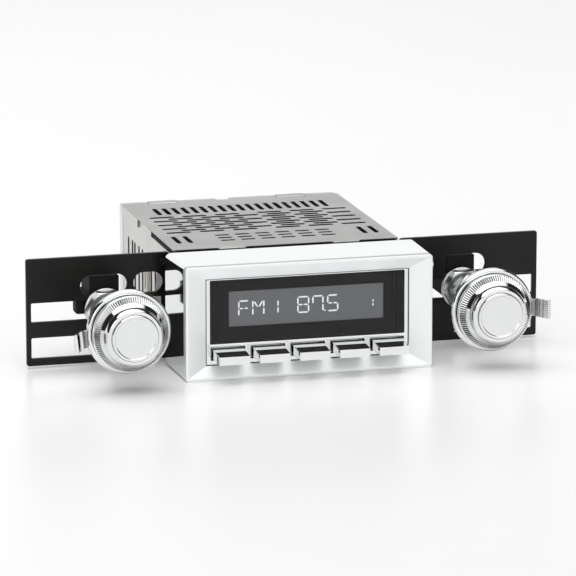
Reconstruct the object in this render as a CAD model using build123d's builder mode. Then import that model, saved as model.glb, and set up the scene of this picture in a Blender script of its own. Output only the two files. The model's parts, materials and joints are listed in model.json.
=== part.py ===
"""Two-shaft car radio with a chrome front, five push buttons and two adjustable control shafts.

The frame: X is the width, Y runs from the front (minus) to the rear (plus), Z is up.
The origin lies under the middle of the whole radio, on the surface that it stands on.
Depths are given as the distance behind the front plane of the bezel.
"""

import os

from build123d import *

os.makedirs("parts", exist_ok=True)

# ---------------------------------------------------------------- driving dimensions (mm)
front_plane_y = -70.2  # where the bezel's front face lies along Y

bezel_width_front = 113.0
bezel_width_rear = 115.9
bezel_height = 51.5
bezel_depth = 32.6
bezel_middle_z = bezel_height / 2
bezel_inner_width = 110.4
bezel_inner_height = 47.8
rim_width = 1.3
recess_depth = 3.2
opening_width = 93.0
opening_height = 39.0
opening_z = 25.6

chassis_width = 105.3
chassis_front = 40.0
chassis_rear = 142.6
sheet = 0.8
tub_half = 51.8
tub_height = 50.1
cover_top = 50.95

plate_front = 42.5
plate_thickness = 2.0
plate_bottom = 1.06
plate_top = 49.8
plate_end = 119.0

shaft_x = 83.0
shaft_z = 25.4
slide_window_bottom = 21.0
slide_window_top = 29.7

button_pitch = 18.26
button_count = 5
button_width_front = 14.0
button_width_rear = 14.6
button_bottom = 8.9
button_top = 13.6
button_front = -9.5

rest_angle_left = 6.0  # the left lever hangs this many degrees under level

SIDES = (("left", -1), ("right", 1))


# ---------------------------------------------------------------- small helpers
def facing(depth):
    """Plane seen from the front, at a depth behind the bezel's front plane."""
    return Plane(origin=(0, front_plane_y + depth, 0), x_dir=(1, 0, 0), z_dir=(0, -1, 0))


def side_plane(x):
    """Plane seen from the right: its own x runs towards the rear, its own y runs up."""
    return Plane(origin=(x, front_plane_y, 0), x_dir=(0, 1, 0), z_dir=(1, 0, 0))


def block(x0, x1, d0, d1, z0, z1, mode=Mode.ADD):
    """Box between two widths, two depths and two heights."""
    with Locations(((x0 + x1) / 2, front_plane_y + (d0 + d1) / 2, (z0 + z1) / 2)):
        Box(abs(x1 - x0), d1 - d0, z1 - z0, mode=mode)


def rod(x, z, radius, d0, d1, mode=Mode.ADD):
    """Cylinder along Y."""
    with Locations((x, front_plane_y + (d0 + d1) / 2, z)):
        Cylinder(radius, d1 - d0, rotation=(90, 0, 0), mode=mode)


def post(x, depth, radius, z0, z1, mode=Mode.ADD):
    """Cylinder along Z."""
    with Locations((x, front_plane_y + depth, (z0 + z1) / 2)):
        Cylinder(radius, z1 - z0, mode=mode)


def cross_rod(x0, x1, depth, z, radius, mode=Mode.ADD):
    """Cylinder along X."""
    with Locations(((x0 + x1) / 2, front_plane_y + depth, z)):
        Cylinder(radius, abs(x1 - x0), rotation=(0, 90, 0), mode=mode)


def finish(piece, name):
    """Label a finished piece and write its STEP file."""
    piece.part.label = name
    export_step(piece.part, "parts/" + name + ".step")


# ---------------------------------------------------------------- bezel and front trim
with BuildPart() as bezel:
    with BuildSketch(facing(0)):
        with Locations((0, bezel_middle_z)):
            RectangleRounded(bezel_width_front, bezel_height, 1.4)
    with BuildSketch(facing(bezel_depth)):
        with Locations((0, bezel_middle_z)):
            RectangleRounded(bezel_width_rear, bezel_height, 2.7)
    loft()
    with BuildSketch(facing(bezel_depth)):
        with Locations((0, bezel_middle_z)):
            RectangleRounded(bezel_inner_width, bezel_inner_height, 0.3)
    extrude(amount=bezel_depth - recess_depth - 3.4, mode=Mode.SUBTRACT)
    with BuildSketch(facing(0)):
        with Locations((0, bezel_middle_z)):
            Rectangle(bezel_width_front - 2 * rim_width, bezel_height - 2 * rim_width)
    with BuildSketch(facing(recess_depth)):
        with Locations((0, opening_z)):
            Rectangle(opening_width, opening_height)
    loft(mode=Mode.SUBTRACT)
    block(-opening_width / 2, opening_width / 2, 3.1, 7.0, opening_z - opening_height / 2,
          opening_z + opening_height / 2, Mode.SUBTRACT)
finish(bezel, "bezel")

lens_half = 44.4
lens_bottom = 15.7
lens_top = 44.2
trim_front = 3.6
trim_rear = 8.0
button_hole_width = 15.6
button_hole_bottom = 8.3
button_hole_top = 14.2
button_xs = [(i - (button_count - 1) / 2) * button_pitch for i in range(button_count)]

with BuildPart() as inner_trim:
    block(-opening_width / 2 + 0.25, opening_width / 2 - 0.25, trim_front, 6.65,
          opening_z - opening_height / 2 + 0.25, opening_z + opening_height / 2 - 0.25)
    block(-48.5, 48.5, 6.65, trim_rear, 3.6, 47.6)
    block(-lens_half - 0.1, lens_half + 0.1, trim_front - 1, trim_rear + 1,
          lens_bottom - 0.1, lens_top + 0.1, Mode.SUBTRACT)
    for x in button_xs:
        block(x - button_hole_width / 2, x + button_hole_width / 2, trim_front - 1,
              trim_rear + 1, button_hole_bottom, button_hole_top, Mode.SUBTRACT)
finish(inner_trim, "inner_trim")

with BuildPart() as display_lens:
    block(-lens_half, lens_half, trim_front, 5.6, lens_bottom, lens_top)
    edge_ring = display_lens.faces().sort_by(Axis.Y)[0].edges()
    chamfer(edge_ring, 0.3)
finish(display_lens, "display_lens")

# ---------------------------------------------------------------- display and front board
display_half = 37.5
display_window_half = 35.5
board_depth = 23.0
holder_half = 40.0

with BuildPart() as lcd_holder:
    block(-holder_half, holder_half, 5.7, board_depth, 16.1, 44.0)
    block(-display_half, display_half, 6.5, board_depth + 1, 20.0, 41.0, Mode.SUBTRACT)
    block(-display_window_half, display_window_half, 5.0, 7.0, 22.5, 38.5, Mode.SUBTRACT)
finish(lcd_holder, "lcd_holder")

with BuildPart() as lcd_panel:
    block(-display_half + 0.1, display_half - 0.1, 6.5, 9.0, 20.1, 40.9)
finish(lcd_panel, "lcd_panel")

with BuildPart() as lcd_backlight:
    block(-display_half + 0.1, display_half - 0.1, 9.05, 12.5, 20.1, 40.9)
    block(-4, 4, 12.5, board_depth - 0.05, 26, 34)
finish(lcd_backlight, "lcd_backlight")

with BuildPart() as front_board:
    block(-46, 46, board_depth, board_depth + 1.6, 5, 46)
    for x in (-43, 43):
        for z in (8, 43):
            rod(x, z, 1.6, board_depth - 1, board_depth + 3, Mode.SUBTRACT)
finish(front_board, "front_board")

switch_z = (button_bottom + button_top) / 2
switch_front = 19.1

with BuildPart() as button_switches:
    for x in button_xs:
        block(x - 3, x + 3, 19.6, board_depth, switch_z - 3, switch_z + 3)
        rod(x, switch_z, 1.7, switch_front, 19.6)
finish(button_switches, "button_switches")

with BuildPart() as front_housing:
    block(-54.9, 54.9, 12.0, 33.2, 2.2, 49.3)
    block(-51.0, 51.0, 33.2, 39.9, 1.2, 49.8)
    block(-50.9, 50.9, 39.9, 44.0, 0.9, 49.9)
    block(-47.0, 47.0, 11.0, 24.7, 4.0, 46.9, Mode.SUBTRACT)
    block(-44.0, 44.0, 24.0, 45.0, 6.2, 44.8, Mode.SUBTRACT)
    for x0, x1 in ((-51.7, -50.1), (50.1, 51.7)):
        block(x0, x1, 38.5, 86.0, 47.7, 50.05)
    # a lip covers the front edge of the top cover, with gaps for the cover's tongues
    for x0, x1 in ((-50.8, -32.4), (-18.6, 20.6), (34.4, 50.8)):
        block(x0, x1, 38.7, 39.85, 49.5, 50.9)
finish(front_housing, "front_housing")

# ---------------------------------------------------------------- push buttons
for index, x in enumerate(button_xs):
    with BuildPart() as button:
        with BuildSketch(Plane.XY.offset(button_bottom)):
            with BuildLine():
                Polyline(
                    (x - button_width_front / 2, front_plane_y + button_front),
                    (x + button_width_front / 2, front_plane_y + button_front),
                    (x + button_width_rear / 2, front_plane_y + 8.3),
                    (x - button_width_rear / 2, front_plane_y + 8.3),
                    close=True,
                )
            make_face()
        extrude(amount=button_top - button_bottom)
        front_face = button.faces().sort_by(Axis.Y)[0]
        fillet(front_face.edges(), 0.35)
        # the top falls a little towards the front
        with BuildSketch(side_plane(x - 8)):
            with BuildLine():
                Polyline((button_front - 1, button_top - 0.98), (trim_front, button_top),
                         (trim_front, button_top + 1), (button_front - 1, button_top + 1),
                         close=True)
            make_face()
        extrude(amount=16, mode=Mode.SUBTRACT)
        block(x - 8.5, x + 8.5, 8.2, 9.8, 7.7, 14.9)
        block(x - 2, x + 2, 9.8, 17.8, switch_z - 2, switch_z + 2)
    finish(button, "button_" + str(index + 1))

# ---------------------------------------------------------------- chassis
side_slot_depths = (54.0, 62.0, 70.0, 78.0, 86.0, 103.5, 110.7, 119.0, 124.0, 132.0)
side_slot_half = 1.4

with BuildPart() as chassis_tub:
    block(-tub_half, tub_half, chassis_front, chassis_rear, 0, tub_height)
    block(-tub_half + sheet, tub_half - sheet, chassis_front - 1, chassis_rear + 1, sheet,
          tub_height + 1, Mode.SUBTRACT)
    for side_x in (-tub_half, tub_half):
        block(side_x - 1, side_x + 1, chassis_front - 1, 86.1, 47.6, tub_height + 1,
              Mode.SUBTRACT)
    for depth in side_slot_depths:
        for side_x in (-tub_half, tub_half):
            block(side_x - 1, side_x + 1, depth - side_slot_half, depth + side_slot_half, 12, 38,
                  Mode.SUBTRACT)
    for side_x in (-tub_half, tub_half):
        block(side_x - 1, side_x + 1, 90.5, 97.0, 20, 34, Mode.SUBTRACT)
    for x in range(-36, 37, 8):
        block(x - 1, x + 1, 62, 74, -1, 2, Mode.SUBTRACT)
        block(x - 1, x + 1, 104, 116, -1, 2, Mode.SUBTRACT)
finish(chassis_tub, "chassis_tub")

vent_pitch = 15.6
vent_length = 11.7
row_step = 8.47

with BuildPart() as top_cover:
    block(-chassis_width / 2, chassis_width / 2, chassis_front, chassis_rear, tub_height + 0.05,
          cover_top)
    top_corners = top_cover.edges().filter_by(Axis.Y).group_by(Axis.Z)[-1]
    fillet(top_corners, 0.6)
    for outer, inner in ((-chassis_width / 2, -tub_half - 0.1), (tub_half + 0.1, chassis_width / 2)):
        block(outer, inner, 110, chassis_rear, 46.8, 50.3)
    with BuildSketch(Plane.XY.offset(cover_top)):
        # the rear row runs front to rear
        for i in range(19):
            with Locations(((i - 9) * 4.44 - 0.35, front_plane_y + 122.4)):
                SlotOverall(14.2, 2.2, rotation=90)
        # two slots near each front corner
        for x in (-46.1, -40.8, 40.8, 46.1):
            with Locations((x, front_plane_y + 60.2)):
                SlotOverall(14.5, 2.2, rotation=90)
        # five rows of cross slots, three each side of the middle, and four staggered rows
        for row in range(5):
            depth = 109.5 - row * row_step
            for i in range(3):
                x = 41.25 - i * vent_pitch
                for sign in (-1, 1):
                    with Locations((sign * x, front_plane_y + depth)):
                        SlotOverall(vent_length, 2.7)
        for row in range(4):
            depth = 105.2 - row * row_step
            for i in range(5):
                with Locations(((i - 2) * vent_pitch - 2.1, front_plane_y + depth)):
                    SlotOverall(vent_length, 2.7)
        # a plain block of short slots fills the middle of the front
        for row in range(3):
            for i in range(6):
                with Locations(((i - 2.5) * 9.4, front_plane_y + 54.5 + row * 5.6)):
                    SlotOverall(6.8, 2.2)
    extrude(amount=-2, mode=Mode.SUBTRACT)
    # tongues that hook over the front housing and the rear block
    for x0, x1, d0, d1 in ((-32, -19, 37.6, 41.0), (21, 34, 37.6, 41.0),
                           (-39.8, -25.4, 141.6, 146.4), (22, 36.5, 141.6, 146.4)):
        block(x0, x1, d0, d1, 50.3, 51.2)
finish(top_cover, "top_cover")

# ---------------------------------------------------------------- rear block and sockets
panel_front = 142.65
block_front = 143.7
block_rear = 150.0
socket_window = (3.0, 47.5, 6.0, 43.5)
stud_x = -2.6
stud_z = 36.0
rear_screw_places = [(x, z) for x in (-46.5, 49.2) for z in (4.6, 46.0)]
antenna_x = 10.5
antenna_z = 33.0
jack_xs = (25.0, 39.0)
jack_z = 35.0
harness = (21.0, 44.0, 10.0, 24.0)
fin_root = 146.4
amplifier_screw_xs = (-28.0, -12.0)
amplifier_screw_z = 22.0

with BuildPart() as rear_panel:
    block(-tub_half, tub_half, panel_front, block_front, 0.4, 50.0)
    for x, z in rear_screw_places:
        rod(x, z, 1.5, panel_front - 1, block_front + 1, Mode.SUBTRACT)
    rod(antenna_x, antenna_z, 4.6, panel_front - 1, block_front + 1, Mode.SUBTRACT)
    block(harness[0] + 2, harness[1] - 2, panel_front - 1, block_front + 1, harness[2] + 2,
          harness[3] - 2, Mode.SUBTRACT)
    for x in amplifier_screw_xs:
        rod(x, amplifier_screw_z, 1.5, panel_front - 1, block_front + 1, Mode.SUBTRACT)
finish(rear_panel, "rear_panel")

with BuildPart() as heat_sink:
    block(-52.0, 52.0, block_front, block_rear, 1.5, 50.2)
    block(socket_window[0], socket_window[1], block_front - 1, block_rear + 1,
          socket_window[2], socket_window[3], Mode.SUBTRACT)
    block(-5.7, 0.5, block_front - 1, block_rear + 1, 47.6, 51, Mode.SUBTRACT)
    for i in range(11):
        x = -42.5 + i * 3.2
        block(x - 1, x + 1, fin_root, block_rear + 1, 0, 47.0, Mode.SUBTRACT)
    for x, z in rear_screw_places:
        rod(x, z, 1.5, block_front - 1, block_rear + 1, Mode.SUBTRACT)
    rod(stud_x, stud_z, 2.55, block_front - 1, block_rear + 1, Mode.SUBTRACT)
    for x in amplifier_screw_xs:
        rod(x, amplifier_screw_z, 3.2, fin_root, block_rear + 1, Mode.SUBTRACT)
        rod(x, amplifier_screw_z, 1.5, block_front - 1, block_rear + 1, Mode.SUBTRACT)
finish(heat_sink, "heat_sink")

with BuildPart() as rear_screws:
    for x, z in rear_screw_places:
        rod(x, z, 1.45, 140.6, block_rear)
        rod(x, z, 2.8, block_rear, block_rear + 1.8)
        block(x - 2, x + 2, block_rear + 1.0, block_rear + 2.5, z - 0.35, z + 0.35, Mode.SUBTRACT)
        block(x - 0.35, x + 0.35, block_rear + 1.0, block_rear + 2.5, z - 2, z + 2, Mode.SUBTRACT)
    for x in amplifier_screw_xs:
        rod(x, amplifier_screw_z, 1.45, 138.0, fin_root)
        rod(x, amplifier_screw_z, 2.8, fin_root, fin_root + 1.8)
finish(rear_screws, "rear_screws")

with BuildPart() as rear_support_stud:
    with BuildSketch(facing(block_rear)):
        with Locations((stud_x, stud_z)):
            RegularPolygon(4.6, 6)
    extrude(amount=-2.4)
    rod(stud_x, stud_z, 2.5, block_front + 0.1, 158.0)
    stud_tip = rear_support_stud.faces().sort_by(Axis.Y)[-1]
    chamfer(stud_tip.edges(), 0.5)
finish(rear_support_stud, "rear_support_stud")

with BuildPart() as antenna_socket:
    rod(antenna_x, antenna_z, 6.2, block_front, 156.0)
    rod(antenna_x, antenna_z, 4.5, 137.0, block_front)
    rod(antenna_x, antenna_z, 4.3, 145.0, 157.0, Mode.SUBTRACT)
    rod(antenna_x, antenna_z, 1.7, 139.0, 146.0, Mode.SUBTRACT)
finish(antenna_socket, "antenna_socket")

with BuildPart() as harness_socket:
    block(harness[0], harness[1], block_front, 153.0, harness[2], harness[3])
    block(harness[0] + 2.1, harness[1] - 2.1, 138.0, block_front, harness[2] + 2.1,
          harness[3] - 2.1)
    block(harness[0] + 1.3, harness[1] - 1.3, 146.0, 154.0, harness[2] + 1.3,
          harness[3] - 1.3, Mode.SUBTRACT)
    for i in range(8):
        for z in (14.5, 19.5):
            x = harness[0] + 2.9 + i * 2.457
            rod(x, z, 0.45, 137.0, 147.0, Mode.SUBTRACT)
finish(harness_socket, "harness_socket")

with BuildPart() as harness_pins:
    for i in range(8):
        for z in (14.5, 19.5):
            x = harness[0] + 2.9 + i * 2.457
            rod(x, z, 0.42, 136.0, 151.5)
finish(harness_pins, "harness_pins")

with BuildPart() as audio_jacks:
    block(17.6, 46.4, block_front, 146.2, 28.6, 41.4)
    for x in jack_xs:
        rod(x, jack_z, 4.15, 146.2, 153.5)
        rod(x, jack_z, 1.65, 145.2, 154.5, Mode.SUBTRACT)
finish(audio_jacks, "audio_jacks")

# ---------------------------------------------------------------- inside the chassis
board_bottom = 8.0
board_top = 9.6
standoff_places = [(x, d) for x in (-42.0, 42.0) for d in (58.0, 128.0)]

with BuildPart() as main_board:
    block(-47, 47, 52, 136, board_bottom, board_top)
    for x, d in ((6, 80), (24, 74), (-24, 112)):
        block(x - 5, x + 5, d - 5, d + 5, board_top, board_top + 1.8)
    for x, d in standoff_places:
        post(x, d, 1.7, board_bottom - 1, board_top + 1, Mode.SUBTRACT)
finish(main_board, "main_board")

with BuildPart() as board_standoffs:
    for x, d in standoff_places:
        post(x, d, 2.8, sheet, board_bottom)
        post(x, d, 1.6, 3.0, board_bottom + 1, Mode.SUBTRACT)
finish(board_standoffs, "board_standoffs")

with BuildPart() as board_screws:
    for x, d in standoff_places:
        post(x, d, 1.5, 4.0, board_top)
        post(x, d, 2.8, board_top, board_top + 1.8)
finish(board_screws, "board_screws")

with BuildPart() as tuner_can:
    block(-40, -8, 62, 96, board_top, 26)
    block(-39.4, -8.6, 62.6, 95.4, board_top - 1, 25.4, Mode.SUBTRACT)
finish(tuner_can, "tuner_can")

with BuildPart() as filter_capacitors:
    for x, d in ((16, 112), (31, 112), (31, 94)):
        post(x, d, 6.3, board_top, 32)
finish(filter_capacitors, "filter_capacitors")

with BuildPart() as amplifier_chip:
    block(-33, -7, 137.6, panel_front, 10.5, 28)
    for i in range(13):
        block(-31.4 + i * 1.9 - 0.3, -31.4 + i * 1.9 + 0.3, 134.0, 137.6, 11.2, 11.8)
        block(-31.4 + i * 1.9 - 0.3, -31.4 + i * 1.9 + 0.3, 134.0, 134.6, board_top, 11.8)
    for x in amplifier_screw_xs:
        rod(x, amplifier_screw_z, 1.5, 136, 144, Mode.SUBTRACT)
finish(amplifier_chip, "amplifier_chip")

with BuildPart() as front_ribbon:
    with BuildSketch(side_plane(-15)):
        with BuildLine():
            FilletPolyline((24.65, 12.0), (34.0, 12.0), (44.0, 20.0), (58.0, 20.0), (58.0, 9.65),
                           radius=2.5)
            offset(amount=0.35, side=Side.LEFT)
        make_face()
    extrude(amount=30)
finish(front_ribbon, "front_ribbon")

# ---------------------------------------------------------------- mounting brackets
flange_inner = 51.85
flange_outer = 53.85

for side, sign in SIDES:
    with BuildPart() as bracket:
        with BuildSketch(facing(plate_front + plate_thickness)):
            plate_middle = sign * (flange_inner + plate_end) / 2
            with Locations((plate_middle, (plate_bottom + plate_top) / 2)):
                RectangleRounded(plate_end - flange_inner, plate_top - plate_bottom, 1.5)
        extrude(amount=plate_thickness)
        block(sign * flange_inner, sign * (flange_inner + 3), plate_front,
              plate_front + plate_thickness, plate_bottom, plate_top)
        with BuildSketch(side_plane(sign * flange_inner)):
            with BuildLine():
                Polyline((plate_front, 3.0), (66.0, 3.0), (70.0, 8.0), (70.0, 28.0), (62.0, 46.0),
                         (plate_front, 46.0), close=True)
            make_face()
        extrude(amount=sign * (flange_outer - flange_inner))
        # long window that the control shaft slides in, lower window, two round-ended slots
        block(sign * 57.5, sign * 116.8, plate_front - 1, plate_front + 3, slide_window_bottom,
              slide_window_top, Mode.SUBTRACT)
        block(sign * 80.0, sign * 116.8, plate_front - 1, plate_front + 3, 4.5, 13.8,
              Mode.SUBTRACT)
        with BuildSketch(facing(plate_front + plate_thickness + 1)):
            with Locations((sign * (72.9 + 94.4) / 2, 36.15)):
                SlotOverall(21.5, 9.9)
            with Locations((sign * (56.8 + 70.1) / 2, 36.45)):
                SlotOverall(13.3, 9.3)
        extrude(amount=4, mode=Mode.SUBTRACT)
        for depth in (50.5, 61.0):
            cross_rod(sign * (flange_inner - 1), sign * (flange_outer + 1), depth, 18.0, 2.1,
                      Mode.SUBTRACT)
    finish(bracket, side + "_bracket")

with BuildPart() as bracket_screws:
    for sign in (-1, 1):
        for depth in (50.5, 61.0):
            cross_rod(sign * flange_inner, sign * flange_outer, depth, 18.0, 2.0)
            cross_rod(sign * flange_outer, sign * (flange_outer + 2.2), depth, 18.0, 3.8)
finish(bracket_screws, "bracket_screws")

# ---------------------------------------------------------------- control shafts, both sides
module_front = plate_front + plate_thickness + 0.1
module_rear = 62.0
bushing_radius = 4.2
sleeve_radius = 3.0
sleeve_bore = 2.06
inner_shaft_radius = 2.0
ring_radius = 18.9
ring_front = -5.0
washer_radius = 9.6
knob_rear = -5.2
knob_radius = 17.0
knob_hub_radius = 15.2
knob_skirt_rear = -6.4
knob_skirt_front = -8.4
knob_neck_depth = -12.8
knob_socket_depth = -13.0
knob_seat_depth = -15.0
knob_shoulder_depth = -16.8
knob_front = -17.6

for side, sign in SIDES:
    axis_x = sign * shaft_x
    lever_tilt = rest_angle_left if side == "left" else 0.0

    with BuildPart() as control_housing:
        block(axis_x - 8, axis_x + 8, module_front, module_rear, 20.6, 31.5)
        low_corners = control_housing.edges().filter_by(Axis.Y).group_by(Axis.Z)[0]
        chamfer(low_corners, 1.0)
        block(axis_x + sign * 7.9, axis_x + sign * 13.0, module_front, 52.0, 23.0, 31.5)
        block(axis_x - 6.75, axis_x + 6.75, module_front, module_rear, 31.5, 40.0)
        block(axis_x - 6.8, axis_x + 6.8, module_front + 1.2, module_rear + 1, 21.8, 30.3,
              Mode.SUBTRACT)
        block(axis_x - 5.55, axis_x + 5.55, module_front + 1.2, module_rear + 1, 30.2, 38.8,
              Mode.SUBTRACT)
        rod(axis_x, shaft_z, bushing_radius + 0.03, module_front - 1, module_front + 2,
            Mode.SUBTRACT)
    finish(control_housing, side + "_control_housing")

    with BuildPart() as control_cover:
        block(axis_x - 7.8, axis_x + 7.8, module_rear, module_rear + 1.2, 20.8, 31.3)
        block(axis_x - 6.5, axis_x + 6.5, module_rear, module_rear + 1.2, 31.3, 39.8)
        block(axis_x - 4.2, axis_x + 4.2, module_rear - 1, module_rear + 2, 33.0, 35.0,
              Mode.SUBTRACT)
    finish(control_cover, side + "_control_cover")

    with BuildPart() as bushing:
        rod(axis_x, shaft_z, bushing_radius, 22.0, module_front + 1.2)
        with BuildSketch(facing(module_front + 3.0)):
            with Locations((axis_x, shaft_z + 0.65)):
                Rectangle(12, 8.4)
        extrude(amount=1.8)
        rod(axis_x, shaft_z, sleeve_radius + 0.06, 21.0, module_front + 4, Mode.SUBTRACT)
        bushing_mouth = bushing.faces().sort_by(Axis.Y)[0]
        chamfer(bushing_mouth.outer_wire().edges(), 0.5)
    finish(bushing, side + "_bushing")

    with BuildPart() as washer:
        rod(axis_x, shaft_z, washer_radius, plate_front - 1.3, plate_front - 0.1)
        rod(axis_x, shaft_z, bushing_radius + 0.03, plate_front - 3, plate_front + 1,
            Mode.SUBTRACT)
    finish(washer, side + "_washer")

    with BuildPart() as nuts:
        with BuildSketch(facing(plate_front - 1.35)):
            with Locations((axis_x, shaft_z)):
                RegularPolygon(10.2, 6)
        extrude(amount=6.0)
        with BuildSketch(facing(32.0)):
            with Locations((axis_x, shaft_z)):
                RegularPolygon(9.2, 6, rotation=18)
        extrude(amount=5.0)
        rod(axis_x, shaft_z, bushing_radius + 0.03, 20.0, plate_front + 1, Mode.SUBTRACT)
    finish(nuts, side + "_shaft_nuts")

    with BuildPart() as control_board:
        block(axis_x - 6.6, axis_x + 6.6, 56.0, 57.6, 22.0, 30.1)
        block(axis_x - 5.0, axis_x + 5.0, 56.0, 57.6, 30.1, 38.4)
        block(axis_x - 5.4, axis_x + 5.4, module_front + 3.1, 56.0, 22.0, 30.1)
        block(axis_x - 4.0, axis_x + 4.0, 57.6, 64.6, 33.1, 34.9)
        rod(axis_x, shaft_z, 3.12, module_front, 54.9, Mode.SUBTRACT)
    finish(control_board, side + "_control_board")

    # the header in the chassis side that the cable from the control box plugs into
    with BuildPart() as cable_socket:
        block(sign * 46.0, sign * 52.8, 90.6, 96.9, 20.1, 33.9)
        block(sign * 48.5, sign * 54.0, 91.8, 95.7, 21.3, 32.7, Mode.SUBTRACT)
        for i in range(4):
            cross_rod(sign * 48.0, sign * 51.8, 93.75, 23.0 + i * 2.67, 0.4)
    finish(cable_socket, side + "_cable_socket")

    with BuildPart() as sleeve:
        rod(axis_x, shaft_z, sleeve_radius, -1.0, 50.0)
        rod(axis_x, shaft_z, sleeve_bore, -2.0, 51.0, Mode.SUBTRACT)
    finish(sleeve, side + "_ring_sleeve")

    # the ring: a dished disc with a hub, and a lever tab that sweeps out and forwards
    with BuildPart() as ring:
        with BuildSketch(Plane(origin=(axis_x, front_plane_y, shaft_z), x_dir=(1, 0, 0),
                               z_dir=(0, 0, 1))):
            with BuildLine():
                Polyline((sleeve_radius + 0.02, -3.4), (15.6, -3.4), (16.0, ring_front + 0.2),
                         (16.6, ring_front), (18.2, ring_front), (ring_radius, -4.2),
                         (ring_radius, -2.2), (18.2, -1.2), (14.0, 0.0), (7.0, 0.6), (6.4, 7.0),
                         (sleeve_radius + 0.02, 7.0), close=True)
            make_face()
        revolve(axis=Axis((axis_x, front_plane_y, shaft_z), (0, 1, 0)))
        tab_plane = Plane(origin=(axis_x, front_plane_y, shaft_z - 4.2), x_dir=(1, 0, 0),
                          z_dir=(0, 0, 1))
        with BuildSketch(tab_plane, mode=Mode.PRIVATE) as tab_outline:
            with BuildLine():
                Polyline((sign * 17.6, -2.0), (sign * 19.6, -2.0), (sign * 22.6, -4.6),
                         (sign * 25.9, -9.6), (sign * 24.2, -10.6), (sign * 21.4, -6.6),
                         (sign * 17.6, -4.2), close=True)
            make_face()
        tab = extrude(tab_outline.sketch, amount=8.4, mode=Mode.PRIVATE)
        pivot = Axis((axis_x, front_plane_y, shaft_z), (0, 1, 0))
        add(tab.rotate(pivot, sign * lever_tilt))
    finish(ring, side + "_rear_ring")

    with BuildPart() as plunger:
        rod(axis_x, shaft_z, 2.9, 50.7, 53.8)
    finish(plunger, side + "_push_plunger")

    with BuildPart() as shaft:
        rod(axis_x, shaft_z, inner_shaft_radius, knob_socket_depth, 50.6)
    finish(shaft, side + "_inner_shaft")

    knob_plane = Plane(origin=(axis_x, front_plane_y, shaft_z), x_dir=(1, 0, 0), z_dir=(0, 0, 1))
    knob_axis = Axis((axis_x, front_plane_y, shaft_z), (0, 1, 0))

    with BuildPart() as knob:
        with BuildSketch(knob_plane):
            with BuildLine():
                Polyline((inner_shaft_radius + 0.02, knob_rear), (knob_hub_radius, knob_rear),
                         (knob_hub_radius, knob_skirt_rear), (knob_radius, knob_skirt_rear),
                         (knob_radius, knob_skirt_front), (13.5, knob_neck_depth),
                         (13.1, knob_neck_depth - 0.5))
                ThreePointArc((13.1, knob_neck_depth - 0.5), (12.4, -15.4),
                              (10.9, knob_shoulder_depth))
                Polyline((10.9, knob_shoulder_depth), (10.5, knob_shoulder_depth + 0.2),
                         (10.5, knob_seat_depth), (0, knob_seat_depth), (0, knob_socket_depth),
                         (inner_shaft_radius + 0.02, knob_socket_depth),
                         (inner_shaft_radius + 0.02, knob_rear))
            make_face()
        revolve(axis=knob_axis)
    finish(knob, side + "_knob_body")

    with BuildPart() as knob_cap:
        with BuildSketch(knob_plane):
            with BuildLine():
                Polyline((0, knob_seat_depth), (10.4, knob_seat_depth),
                         (10.4, knob_front + 0.5), (9.9, knob_front), (9.0, knob_front),
                         (8.6, knob_front + 0.4), (0, knob_front + 0.3), close=True)
            make_face()
        revolve(axis=knob_axis)
    finish(knob_cap, side + "_knob_cap")
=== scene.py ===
"""Two-shaft car radio with a chrome front: the visual model, built round the CAD frame.

Lengths inside the classes are millimetres in the radio's own frame: X runs across the front, Y from
the front to the rear, and Z up. Depths count from the front plane of the bezel towards the rear.
"""

from __future__ import annotations

import json
import logging
import math
from collections.abc import Callable, Sequence
from dataclasses import dataclass
from enum import Enum
from typing import ClassVar

import bmesh
import bpy
import numpy as np
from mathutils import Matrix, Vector
from mathutils.geometry import delaunay_2d_cdt


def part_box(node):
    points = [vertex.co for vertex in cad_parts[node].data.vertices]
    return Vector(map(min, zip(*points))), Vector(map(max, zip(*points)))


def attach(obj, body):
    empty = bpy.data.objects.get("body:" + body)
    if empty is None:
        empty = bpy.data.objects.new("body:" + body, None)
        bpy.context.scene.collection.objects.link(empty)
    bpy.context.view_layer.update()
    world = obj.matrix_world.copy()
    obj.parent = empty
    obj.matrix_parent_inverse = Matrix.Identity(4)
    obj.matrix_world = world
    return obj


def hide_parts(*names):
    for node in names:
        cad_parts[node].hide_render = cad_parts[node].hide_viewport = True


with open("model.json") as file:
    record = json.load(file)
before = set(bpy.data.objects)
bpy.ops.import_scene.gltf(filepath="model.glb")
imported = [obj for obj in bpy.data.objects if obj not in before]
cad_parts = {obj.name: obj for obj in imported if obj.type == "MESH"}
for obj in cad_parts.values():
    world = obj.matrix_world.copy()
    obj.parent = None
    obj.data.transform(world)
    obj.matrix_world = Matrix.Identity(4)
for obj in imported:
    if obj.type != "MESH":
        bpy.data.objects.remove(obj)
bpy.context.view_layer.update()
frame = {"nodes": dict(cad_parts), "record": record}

LOG = logging.getLogger("car_radio")
MM = 0.001
TINY = 1e-9
FRONT_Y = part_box("bezel")[0].y / MM
BODY_OF_NODE = {
    node: body for body, nodes in frame["record"]["behaviour"]["bodies"].items() for node in nodes
}
SLOT_OF_NODE = {row["node"]: row["material_slot"] for row in frame["record"]["subparts"]}


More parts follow.
